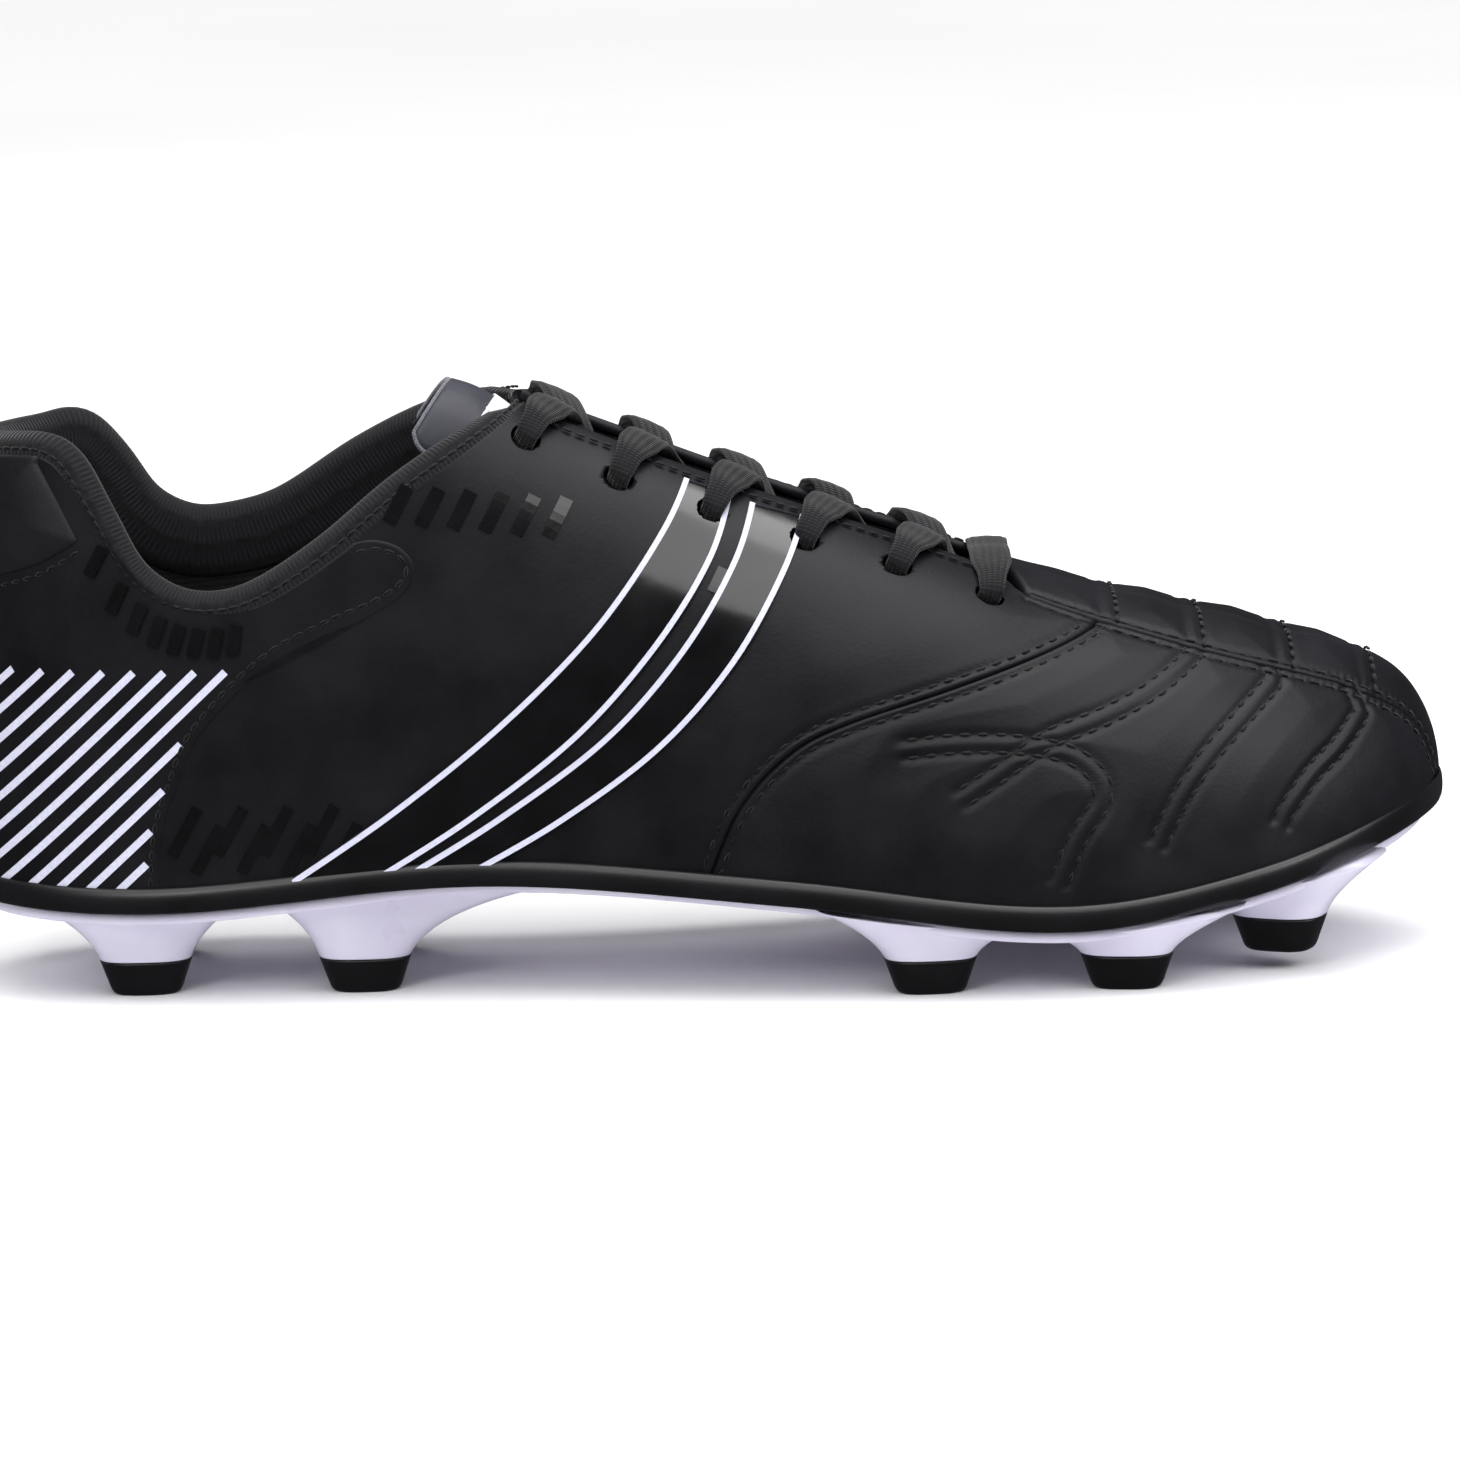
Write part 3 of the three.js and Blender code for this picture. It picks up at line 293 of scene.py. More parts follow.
def in_plan(side, x, out):
    """s and t at distances out from the middle line, at places x."""
    y = middle(share_of(x)) + side * out
    return locate(side, np.stack([x, y], -1), [0, 1])


def top_of(side, s, height_of):
    """The t at which the form reaches a height that is itself a function of x: bisection."""
    low, high = np.zeros_like(s), np.ones_like(s)
    for _ in range(30):
        t = (low + high) / 2
        point = form(side, s, t)
        under = point[..., 2] < height_of(point[..., 0])
        low, high = np.where(under, t, low), np.where(under, high, t)
    return (low + high) / 2


def collar_height(side):
    """The collar's top line as a function that gives z at x."""
    line = {OUTER: collar_outer, INNER: collar_inner}[side]
    return lambda x: above(line(share_of(x)))


# %% [markdown]
# ## From arrays to meshes
# `from_pydata` takes vertices and faces; a panel of cloth or leather is a closed shell, so its
# grid is laid twice, outside and inside, and the four edges are joined.

# %% Mesh helpers


def make_piece(name, points, faces, uv=None, smooth=True):
    """A mesh object from millimetre points in the form's frame and faces as index arrays."""
    mesh = bpy.data.meshes.new(name)
    place = (np.asarray(points, float).reshape(-1, 3) - CENTRE) / 1000
    mesh.from_pydata(place.tolist(), [], [face.tolist() for face in faces])
    mesh.polygons.foreach_set("use_smooth", np.full(len(mesh.polygons), smooth))
    if uv is not None:
        layer = mesh.uv_layers.new(name="surface")
        corners = np.zeros(len(mesh.loops), np.int32)
        mesh.loops.foreach_get("vertex_index", corners)
        layer.data.foreach_set("uv", (np.asarray(uv, float).reshape(-1, 2)[corners] / 1000).ravel())
    mesh.update()
    piece = bpy.data.objects.new(name, mesh)
    bpy.context.scene.collection.objects.link(piece)
    return piece


def grid_faces(rows, columns, wrap_rows=False, wrap_columns=False, start=0):
    """Quads between neighbouring points of a grid; wrapping joins the last line to the first."""
    i = np.arange(rows if wrap_rows else rows - 1)
    j = np.arange(columns if wrap_columns else columns - 1)
    i, j = np.meshgrid(i, j, indexing="ij")
    i, j = i.ravel(), j.ravel()
    i2, j2 = (i + 1) % rows, (j + 1) % columns
    return start + np.stack([i * columns + j, i2 * columns + j, i2 * columns + j2, i * columns + j2], -1)


def edge_distance(points):
    """Each grid point's distance from the nearer edge along the rows and along the columns, and
    its distances from the first corner, which serve as a map of the surface in millimetres."""
    along_rows = np.cumsum(np.linalg.norm(np.diff(points, axis=0, prepend=points[:1]), axis=-1), 0)
    along_columns = np.cumsum(np.linalg.norm(np.diff(points, axis=1, prepend=points[:, :1]), axis=-1), 1)
    rows = np.minimum(along_rows, along_rows[-1:] - along_rows)
    columns = np.minimum(along_columns, along_columns[:, -1:] - along_columns)
    return rows, columns, np.stack([along_rows, along_columns], -1)


def face_outwards(piece):
    """Merges doubled points and turns every face of a closed mesh outward."""
    tool = bmesh.new()
    tool.from_mesh(piece.data)
    bmesh.ops.remove_doubles(tool, verts=tool.verts, dist=1e-6)
    bmesh.ops.dissolve_degenerate(tool, dist=1e-7, edges=tool.edges)
    bmesh.ops.recalc_face_normals(tool, faces=tool.faces)
    tool.to_mesh(piece.data)
    tool.free()


def closed_pair(name, top, bottom, uv):
    """A closed sheet from an upper and a lower grid, joined along the four edges."""
    count_i, count_j = top.shape[:2]
    total = count_i * count_j
    faces = [grid_faces(count_i, count_j), grid_faces(count_i, count_j, start=total)[:, ::-1]]
    border = np.concatenate([np.arange(count_j), np.arange(1, count_i) * count_j + count_j - 1,
                             (count_i - 1) * count_j + np.arange(count_j - 1)[::-1],
                             np.arange(1, count_i - 1)[::-1] * count_j])
    following = np.roll(border, -1)
    faces.append(np.stack([following, border, border + total, following + total], -1))
    both = np.concatenate([top.reshape(-1, 3), bottom.reshape(-1, 3)])
    piece = make_piece(name, both, np.concatenate(faces), np.concatenate([uv.reshape(-1, 2)] * 2))
    face_outwards(piece)
    return piece


def shell(name, side, s, t, low, high, relief=None, round_edge=0.8):
    """A closed shell over a grid of s and t: the outer face stands high above the form, the
    inner face low, and the outer edge is rolled down over a quarter circle of round_edge."""
    base = form(side, s, t)
    normal = form_normal(side, s, t)
    rows, columns, uv = edge_distance(base)
    fall = np.clip(np.minimum(rows, columns) / round_edge, 0, 1)
    drop = np.minimum(round_edge * (1 - np.sqrt(1 - (1 - fall) ** 2)), 0.85 * (np.max(high) - np.min(low)))
    top = base + normal * ((high - drop) + (0 if relief is None else relief(base)))[..., None]
    bottom = base + normal * (low + 0 * fall)[..., None]
    piece = closed_pair(name, top, bottom, uv)
    print(name, len(piece.data.polygons), "faces")
    return piece


def coons(back, front, low, high, count_u, count_v):
    """A grid between four edge curves: the sum of the two ruled grids less the grid ruled
    between the four corners."""
    back, front = even(back, count_v)[None], even(front, count_v)[None]
    low, high = even(low, count_u)[:, None], even(high, count_u)[:, None]
    u = np.linspace(0, 1, count_u)[:, None, None]
    v = np.linspace(0, 1, count_v)[None, :, None]
    corners = ((1 - u) * ((1 - v) * back[:, :1] + v * back[:, -1:])
               + u * ((1 - v) * front[:, :1] + v * front[:, -1:]))
    grid = (1 - u) * back + u * front + (1 - v) * low + v * high - corners
    return np.clip(grid[..., 0], 0, 1), np.clip(grid[..., 1], 0, 1)


# %% [markdown]
# ## Materials
# Each finish starts from the real material. A small function adds a node with its settings and
# links, and each material function then reads as a short recipe.

# %% Material helpers


def linear(code):
    """An sRGB hex colour as linear RGBA."""
    parts = [int(code[i:i + 2], 16) / 255 for i in (1, 3, 5)]
    return (*(c / 12.92 if c <= 0.04045 else ((c + 0.055) / 1.055) ** 2.4 for c in parts), 1.0)


def add_node(tree, kind, settings=None, links=None):
    """Adds a node, sets its sockets or properties, and links named inputs from other sockets."""
    node = tree.nodes.new(kind)
    for key, value in (settings or {}).items():
        if hasattr(node, key):
            setattr(node, key, value)
        else:
            node.inputs[key].default_value = value
    for key, source in (links or {}).items():
        tree.links.new(source, node.inputs[key])
    return node


def new_material(name):
    """An empty node tree with an output and a Principled shader."""
    material = bpy.data.materials.new(name)
    material.use_nodes = True
    tree = material.node_tree
    tree.nodes.clear()
    shader = add_node(tree, "ShaderNodeBsdfPrincipled")
    add_node(tree, "ShaderNodeOutputMaterial", links={"Surface": shader.outputs["BSDF"]})
    return material, tree, shader


def colour_from(tree, factor, *stops):
    """A colour ramp on a factor: two pairs of position and hex colour."""
    ramp = add_node(tree, "ShaderNodeValToRGB", links={"Fac": factor})
    for element, (place, code) in zip(ramp.color_ramp.elements, stops):
        element.position = place
        element.color = linear(code)
    return ramp.outputs["Color"]


def roughness_from(tree, factor, low, high):
    """A factor from 0 to 1 turned into a roughness range."""
    ranged = add_node(tree, "ShaderNodeMapRange", {"To Min": low, "To Max": high}, {"Value": factor})
    return ranged.outputs["Result"]


def surface_noise(tree, size_mm, detail=4.0):
    """Noise whose features are about size_mm across."""
    source = add_node(tree, "ShaderNodeTexCoord").outputs["Object"]
    settings = {"Scale": 1000 / size_mm, "Detail": detail}
    return add_node(tree, "ShaderNodeTexNoise", settings, {"Vector": source})


def bump(tree, shader, height, depth_mm, strength=1.0, previous=None):
    """A bump of a real depth, laid over an earlier one if given."""
    settings = {"Strength": strength, "Distance": depth_mm / 1000}
    node = add_node(tree, "ShaderNodeBump", settings, {"Height": height})
    if previous is not None:
        tree.links.new(previous.outputs["Normal"], node.inputs["Normal"])
    tree.links.new(node.outputs["Normal"], shader.inputs["Normal"])
    return node


# %% [markdown]
# ### Grained polyurethane leather
# The upper's skin is cloth coated with polyurethane and pressed against a grain roll. The eye
# sees a satin black with pebbles about half a millimetre wide; real grain is nearer 0.3 mm,
# and is drawn a little coarser so that it shows.

# %% Grained leather


def grained_leather(name, dark, light, rough):
    """Pebbles from cell noise, over a slow unevenness that also shifts colour and roughness."""
    material, tree, shader = new_material(name)
    coordinates = add_node(tree, "ShaderNodeTexCoord").outputs["Object"]
    pebbles = add_node(tree, "ShaderNodeTexVoronoi", {"Scale": 1000 / 0.7, "feature": "SMOOTH_F1"},
                       {"Vector": coordinates})
    broad = surface_noise(tree, 14)
    colour = colour_from(tree, broad.outputs["Fac"], (0.3, dark), (0.7, light))
    tree.links.new(colour, shader.inputs["Base Color"])
    tree.links.new(roughness_from(tree, broad.outputs["Fac"], *rough), shader.inputs["Roughness"])
    fine = bump(tree, shader, pebbles.outputs["Distance"], 0.05, 0.55)
    bump(tree, shader, surface_noise(tree, 4).outputs["Fac"], 0.10, 0.35, fine)
    shader.inputs["IOR"].default_value = 1.5
    shader.inputs["Specular IOR Level"].default_value = 0.25
    return material


LEATHER = grained_leather("pressed_grain_pu_leather", "#0d0d11", "#17171c", (0.40, 0.54))
TAB_LEATHER = grained_leather("soft_nappa_pu_leather", "#101013", "#1a1a1e", (0.45, 0.6))
TONGUE_LEATHER = grained_leather("satin_grey_pu_leather", "#34343c", "#46464f", (0.36, 0.48))


# %% [markdown]
# ### Heat-pressed gloss film and printed ink
# The side band and the dashes are thermoplastic film pressed on hot, so they mirror the lights
# with the leather's slow waves beneath. The white lines are screen ink, matt and slightly thick.

# %% Film and ink


def gloss_film():
    """A near-black film under a thin clear coat, with waves about 9 mm across."""
    material, tree, shader = new_material("heat_pressed_gloss_tpu_film")
    waves = surface_noise(tree, 9, 2.0)
    tree.links.new(colour_from(tree, waves.outputs["Fac"], (0.3, "#040405"), (0.7, "#0b0b0d")),
                   shader.inputs["Base Color"])
    tree.links.new(roughness_from(tree, waves.outputs["Fac"], 0.12, 0.26), shader.inputs["Roughness"])
    bump(tree, shader, waves.outputs["Fac"], 0.35, 0.5)
    shader.inputs["IOR"].default_value = 1.5
    shader.inputs["Coat Weight"].default_value = 0.4
    shader.inputs["Coat Roughness"].default_value = 0.12
    return material


def screen_ink():
    """Matt ink with the fine unevenness that a screen's mesh leaves."""
    material, tree, shader = new_material("screen_printed_white_ink")
    grain = surface_noise(tree, 0.6)
    tree.links.new(colour_from(tree, grain.outputs["Fac"], (0.2, "#bfc0d6"), (0.8, "#d8d9ec")),
                   shader.inputs["Base Color"])
    tree.links.new(roughness_from(tree, grain.outputs["Fac"], 0.5, 0.65), shader.inputs["Roughness"])
    bump(tree, shader, grain.outputs["Fac"], 0.02, 0.5)
    return material


FILM = gloss_film()
INK = screen_ink()

# %% [markdown]
# ### Even solids: moulded plastic, board and foam
# The plate and stud tips are injection-moulded thermoplastic polyurethane. A mould gives an
# even satin face with a faint spark-eroded grain, and thick white plastic lets a little light
# in under the surface. Rolled acetate, fibreboard and foam are as even, and only rougher.

# %% Even solids


def even_solid(name, dark, light, rough, glow=0.0):
    """Slow colour drift and a fine grain; glow is the share of light that enters the surface."""
    material, tree, shader = new_material(name)
    broad = surface_noise(tree, 18, 3.0)
    spark = surface_noise(tree, 0.5, 2.0)
    colour = colour_from(tree, broad.outputs["Fac"], (0.3, dark), (0.7, light))
    tree.links.new(colour, shader.inputs["Base Color"])
    tree.links.new(roughness_from(tree, broad.outputs["Fac"], *rough), shader.inputs["Roughness"])
    bump(tree, shader, spark.outputs["Fac"], 0.03, 0.4)
    shader.inputs["IOR"].default_value = 1.5
    shader.inputs["Subsurface Weight"].default_value = glow
    shader.inputs["Subsurface Radius"].default_value = (0.004, 0.0035, 0.003)
    return material


WHITE_TPU = even_solid("moulded_pearl_white_tpu", "#cfcadf", "#dcd8ea", (0.24, 0.34), 0.12)
BLACK_TPU = even_solid("moulded_black_tpu", "#0b0b0d", "#131316", (0.30, 0.42))
ACETATE = even_solid("rolled_black_acetate", "#08080a", "#101013", (0.15, 0.25))
FIBREBOARD = even_solid("cellulose_fibreboard", "#8a8273", "#9a9283", (0.8, 0.9))
FOAM = even_solid("open_cell_pu_foam", "#303034", "#3c3c41", (0.9, 0.97))

# %% [markdown]
# ### Knitted and woven textiles
# Lining mesh, collar binding and laces are polyester yarn. The threads run along the piece, so
# these read the piece's own surface map, in metres, and the pitch is the real thread spacing.

# %% Textiles


def woven(name, dark, light, pitch_u, pitch_v, depth, rough=(0.8, 0.95)):
    """Two wave patterns across each other: thread spacings pitch_u and pitch_v in millimetres."""
    material, tree, shader = new_material(name)
    uv = add_node(tree, "ShaderNodeTexCoord").outputs["UV"]
    threads = [add_node(tree, "ShaderNodeTexWave", {
        "wave_type": "BANDS", "bands_direction": direction, "wave_profile": "SIN",
        "Scale": 1000 / pitch / 20 * 2 * math.pi, "Distortion": 0.6, "Detail": 1.0}, {"Vector": uv})
        for direction, pitch in (("X", pitch_u), ("Y", pitch_v))]
    cross = add_node(tree, "ShaderNodeMath", {"operation": "MULTIPLY"})
    tree.links.new(threads[0].outputs["Fac"], cross.inputs[0])
    tree.links.new(threads[1].outputs["Fac"], cross.inputs[1])
    fuzz = surface_noise(tree, 1.2, 3.0)
    mixed = add_node(tree, "ShaderNodeMath", {"operation": "ADD"})
    tree.links.new(cross.outputs[0], mixed.inputs[0])
    tree.links.new(fuzz.outputs["Fac"], mixed.inputs[1])
    colour = colour_from(tree, mixed.outputs[0], (0.35, dark), (1.1 / 1.5, light))
    tree.links.new(colour, shader.inputs["Base Color"])
    tree.links.new(roughness_from(tree, fuzz.outputs["Fac"], *rough), shader.inputs["Roughness"])
    bump(tree, shader, cross.outputs[0], depth, 0.8)
    shader.inputs["Sheen Weight"].default_value = 0.25
    shader.inputs["Sheen Roughness"].default_value = 0.4
    shader.inputs["Specular IOR Level"].default_value = 0.25
    return material


MESH = woven("warp_knit_polyester_mesh", "#050506", "#151518", 1.1, 1.1, 0.3)
BINDING_KNIT = woven("rib_knit_polyester_binding", "#08080a", "#1b1b1f", 0.9, 1.6, 0.25)
WEBBING = woven("tubular_woven_polyester_lace", "#08080a", "#17171a", 0.7, 0.9, 0.18)
RIBBON = woven("woven_white_satin_ribbon", "#d5d6de", "#f2f3f7", 0.4, 0.4, 0.05)
SOCK = woven("brushed_polyester_sock_cloth", "#101012", "#1f1f22", 0.8, 0.8, 0.12)
RAW_EDGE = woven("cut_fabric_edge", "#55555c", "#8f8f99", 0.5, 0.5, 0.15)
EYESTAY_CLOTH = woven("resin_stiffened_cloth", "#08080a", "#121214", 0.6, 0.6, 0.05)
THREAD = woven("bonded_polyester_thread", "#030304", "#0b0b0d", 0.4, 0.4, 0.05, (0.5, 0.7))


def finish(piece, material, body, slot, *nodes):
    """Gives a piece its material and body, and hides the frame nodes that it stands for. The slot is not
    used.
    """
    piece.data.materials.clear()
    piece.data.materials.append(material)
    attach(piece, body)
    if nodes:
        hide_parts(*nodes)
    return piece


# %% [markdown]
# ## Seams and stitch rows
# The lines below are drawn once and then serve three times: as the edges of panels, as sewn
# channels that sink into the padded vamp, and as rows of thread. Drawing a seam once keeps
# the three together when it moves.

# %% Seam lines

FOXING_SEAMS = {
    OUTER: [(0.278, 0.75), (0.294, 0.757), (0.311, 0.741), (0.32, 0.705), (0.315, 0.662), (0.294, 0.622),
            (0.258, 0.58), (0.218, 0.517), (0.175, 0.393), (0.158, 0.289), (0.147, 0.19), (0.143, 0.04)],
    INNER: [(0.265, 0.795), (0.286, 0.807), (0.306, 0.79), (0.317, 0.75), (0.313, 0.69), (0.294, 0.635),
            (0.258, 0.58), (0.218, 0.517), (0.175, 0.393), (0.158, 0.289), (0.147, 0.19), (0.143, 0.04)],
}
QUARTER_BACKS = {
    OUTER: [(0.25, 0.69), (0.24, 0.62), (0.228, 0.55), (0.2, 0.48), (0.163, 0.37), (0.147, 0.28),
            (0.136, 0.18), (0.133, 0.04)],
    INNER: [(0.25, 0.775), (0.243, 0.68), (0.228, 0.56), (0.2, 0.48), (0.163, 0.37), (0.147, 0.28),
            (0.136, 0.18), (0.133, 0.04)],
}
TAB_BACK = 0.668
TAB_SEAM = [(0.02, 0.672), (0.042, 0.682), (0.074, 0.713), (0.1, 0.757)]
TAB_FRONTS = {OUTER: [(0.1, 0.757), (0.091, 0.81), (0.081, 0.865), (0.074, 0.902)],
              INNER: [(0.1, 0.757), (0.092, 0.81), (0.082, 0.87), (0.075, 0.905)]}
VAMP_SEAM = [(0.772, 0.549), (0.737, 0.511), (0.667, 0.453), (0.6, 0.397), (0.56, 0.34), (0.525, 0.23),
             (0.5, 0.06)]
QUILT_LINES = [
    [(0.832, 0.485), (0.80, 0.43), (0.766, 0.39), (0.73, 0.357), (0.70, 0.305), (0.672, 0.255)],
    [(0.885, 0.43), (0.86, 0.372), (0.838, 0.315), (0.817, 0.242), (0.80, 0.157)],
    [(0.944, 0.355), (0.926, 0.302), (0.906, 0.258), (0.888, 0.20), (0.883, 0.175)],
]
HOOK_LINE = [(0.635, 0.347), (0.67, 0.355), (0.71, 0.35), (0.744, 0.327), (0.762, 0.285), (0.763, 0.24),
             (0.748, 0.178), (0.734, 0.095)]
CROSS_ROWS = (0.775, 0.832, 0.892, 0.948)
FOAM_TOP = curve_through([(0.28, 0.6), (0.4, 0.55), (0.55, 0.48), (0.7, 0.4)])
strip_half = curve_through([(0.7, 0.34), (0.76, 0.42), (0.85, 0.47), (0.93, 0.4), (1.03, 0.18)])
STRIP_TOE = [[0.93, 0.36], [0.958, 0.14], [0.965, 0.0]]


def strip_seam(side, count=60):
    """The long seam on top of the toe: in plan to near the toe, then down to the sole's edge."""
    share = np.linspace(THROAT_END, 0.935, 14)
    plan = in_plan(side, along(share), strip_half(share) * HALF_BALL)
    return spline(np.concatenate([plan, STRIP_TOE]), count)


def throat_edge(side, count=60):
    """The throat's edge in plan, from where it meets the collar line to its round front end."""
    x = np.linspace(along(0.355), along(THROAT_END) - THROAT_HALF, 120)
    line = in_plan(side, x, THROAT_HALF + 0 * x)
    under = form(side, *line.T)[:, 2] <= collar_height(side)(x)
    return even(line[under], count)


def on_form(side, st, lift=0.0):
    """Points at s and t, raised by lift."""
    return form(side, st[:, 0], st[:, 1]) + form_normal(side, st[:, 0], st[:, 1]) * lift


def beside(side, st, distance):
    """A line moved sideways on the form by a distance, as 3-D points: along normal x travel."""
    points = on_form(side, st)
    normal = form_normal(side, st[:, 0], st[:, 1])
    across = np.cross(normal, np.gradient(points, axis=0))
    return points + across / np.linalg.norm(across, axis=1, keepdims=True) * distance, normal


def collar_edge(side, start, end, drop=0.0, count=80):
    """The collar line between two values of s, lowered by drop."""
    s = np.linspace(start, end, count)
    return np.stack([s, top_of(side, s, lambda x: collar_height(side)(x) - drop)], -1)


def below_strip(side, line):
    """The stretch of a seam that lies below the long toe seam, starting exactly on it."""
    strip = strip_seam(side)
    limit = np.interp(line[:, 0], strip[:, 0], strip[:, 1])
    start = int((line[:, 1] < limit).argmax())
    first = [line[start, 0], limit[start]]
    return even(np.concatenate([[first], line[start + 1:]]), len(line))


ROW_GAP = 1.7
seams = {side: {
    "foxing": in_side_view(side, FOXING_SEAMS[side], 90),
    "quarter_back": in_side_view(side, QUARTER_BACKS[side], 90),
    "tab_low": in_side_view(side, TAB_SEAM, 40),
    "tab_front": in_side_view(side, TAB_FRONTS[side], 40),
    "vamp": below_strip(side, in_side_view(side, VAMP_SEAM, 80)),
    "strip": strip_seam(side),
    "throat": throat_edge(side),
    "quilt": [below_strip(side, in_side_view(side, line, 50)) for line in QUILT_LINES],
    "hook": in_side_view(side, HOOK_LINE, 70),
} for side in (OUTER, INNER)}


def cross_row(share):
    """A row across the top of the toe, from one long seam to the other."""
    half = strip_half(share) * HALF_BALL
    out = np.linspace(half, 0, 20)
    rows = [on_form(side, in_plan(side, np.full(20, along(share)), out)) for side in (OUTER, INNER)]
    return np.concatenate([rows[0], rows[1][::-1]])


def quilted_lines(side):
    """The seams of the padded vamp that are sewn in double rows."""
    return [seams[side]["vamp"], seams[side]["strip"], seams[side]["hook"], *seams[side]["quilt"]]


double_rows = []
for side in (OUTER, INNER):
    for line in quilted_lines(side):
        double_rows += [beside(side, line, ROW_GAP)[0], beside(side, line, -ROW_GAP)[0]]
for share in CROSS_ROWS:
    double_rows += [cross_row(share) + [ROW_GAP, 0, 0], cross_row(share) - [ROW_GAP, 0, 0]]
row_points = np.concatenate([even(points, 60) for points in double_rows])
print("sewn rows", len(double_rows))


def sewn_relief(points, depth=0.45, width=0.9, puff=0.65, reach=6.0):
    """Height of the padded skin: each sewn row sinks it by depth over about width, and between
    rows it rises by puff within reach, as exp of minus the squared distance."""
    flat = points.reshape(-1, 3)
    nearest = np.concatenate([
        np.sqrt(((block[:, None] - row_points[None]) ** 2).sum(-1).min(1))
        for block in np.array_split(flat, len(flat) // 3000 + 1)])
    rise = puff * (1 - np.exp(-(nearest / reach) ** 2)) - depth * np.exp(-(nearest / width) ** 2)
    return rise.reshape(points.shape[:-1])


# %% [markdown]
# ## Quarters and vamps
# Each panel is cut between four seam curves. A Coons patch fills such an outline with an even
# grid. Trimming one big surface would also work, but it leaves ragged edges, and an even grid
# keeps the quilting and the rolled edges smooth.

# %% Quarter and vamp panels



def feather_edge(start, end, count=80):
    """The sole's edge between two values of s, as a line at t = 0."""
    return np.stack([np.linspace(start, end, count), np.zeros(count)], -1)


def quarter_grid(side, count_u=300, count_v=130):
    """The quarter's patch: under the foxing behind, the collar, throat and long toe seam on top,
    the vamp seam in front and the sole's edge below."""
    back, vamp, strip, throat = (seams[side][key] for key in ("quarter_back", "vamp", "strip", "throat"))
    collar = collar_edge(side, back[0, 0], throat[0, 0])
    join = np.linalg.norm(strip - vamp[0], axis=1).argmin()
    top = np.concatenate([collar, throat[1:], strip[:join], vamp[:1]])
    back = np.concatenate([back[:0:-1], collar[:1]])
    return coons(back, vamp[::-1], feather_edge(back[0, 0], vamp[-1, 0]), top, count_u, count_v)


def vamp_grid(side, count_u=300, count_v=120):
    """The vamp's patch, from the vamp seam to a short edge at the toe tip."""
    vamp, strip = seams[side]["vamp"], seams[side]["strip"]
    join = np.linalg.norm(strip - vamp[0], axis=1).argmin()
    top = np.concatenate([vamp[:1], strip[join + 1:]])
    return coons(vamp[::-1], np.array([[0.95, 0.0], [0.965, 0.0]]), feather_edge(vamp[-1, 0], 0.95), top,
                 count_u, count_v)


for side in (OUTER, INNER):
    word = WORDS[side]
    vamp = shell(f"vamp_{word}_skin", side, *vamp_grid(side), -SKIN, 0.0, sewn_relief)
    finish(vamp, LEATHER, "shoe", "grain_synthetic", f"vamp_{word}")
quarters = {side: shell(f"quarter_{WORDS[side]}_skin", side, *quarter_grid(side), -SKIN, 0.0, sewn_relief)
            for side in (OUTER, INNER)}
for side, quarter in quarters.items():
    finish(quarter, LEATHER, "shoe", "grain_synthetic", f"quarter_{WORDS[side]}")


def both_sides(outer, inner):
    """One grid from a grid on the outer side and one on the inner, joined at the heel back."""
    s = np.concatenate([outer[0][::-1], inner[0][1:]])
    t = np.concatenate([outer[1][::-1], inner[1][1:]])
    sides = np.concatenate([np.full(outer[0].shape[0], OUTER), np.full(inner[0].shape[0] - 1, INNER)])
    return np.broadcast_to(sides[:, None], s.shape), s, t


# %% [markdown]
# ## The strip on top of the toe
# One piece of leather runs over the ridge between the two long seams. It could be two halves
# with a seam, but a real vamp has none there, so the two halves of the grid share their middle
# line and make one shell.

# %% The strip on top of the toe


def strip_grid(count_u=220, count_v=45):
    """Rows across the toe: from each long seam to the middle line, which runs along the ridge
    and then down the toe's front."""
    first = seams[OUTER]["strip"][0, 0]
    centre = even(np.array([[first, 1.0], [1.0, 1.0], [1.0, 0.0]]) * [1.0, 0.35], count_u) / [1.0, 0.35]
    v = np.linspace(0, 1, count_v)[None, :, None]
    halves = [even(seams[side]["strip"], count_u)[:, None] * (1 - v) + centre[:, None] * v
              for side in (OUTER, INNER)]
    grid = np.concatenate([halves[0], halves[1][:, -2::-1]], 1)
    sides = np.concatenate([np.full(count_v, OUTER), np.full(count_v - 1, INNER)])
    return np.broadcast_to(sides, grid.shape[:2]), grid[..., 0], grid[..., 1]


toe_strip = shell("vamp_top_skin", *strip_grid(), -SKIN, 0.0, sewn_relief)
finish(toe_strip, LEATHER, "shoe", "grain_synthetic", "vamp_top")

# %% [markdown]
# ## Heel foxing and heel tab
# The foxing is a second skin laid over the quarters at the heel, so its front edge stands up
# by its own thickness. The tab above it is stuffed with foam, which crowns it between its seams.

# %% Foxing and heel tab


def heel_grid(side, low, front, count_u, count_v, heel_low):
    """A patch from the heel back to a front seam, between a lower line and the collar."""
    high = collar_edge(side, 0.0, front[-1, 0])
    high[-1] = front[-1]
    heel = np.stack([np.zeros(40), np.linspace(heel_low, high[0, 1], 40)], -1)
    return coons(heel, front, low, high, count_u, count_v)


def foxing_grid(side):
    """The foxing's patch on one side, whose front seam ends exactly on the collar."""
    front = seams[side]["foxing"][::-1].copy()
    front[-1, 1] = top_of(side, front[-1:, 0], collar_height(side))[0]
    return heel_grid(side, feather_edge(0.0, front[0, 0]), front, 150, 150, 0.0)


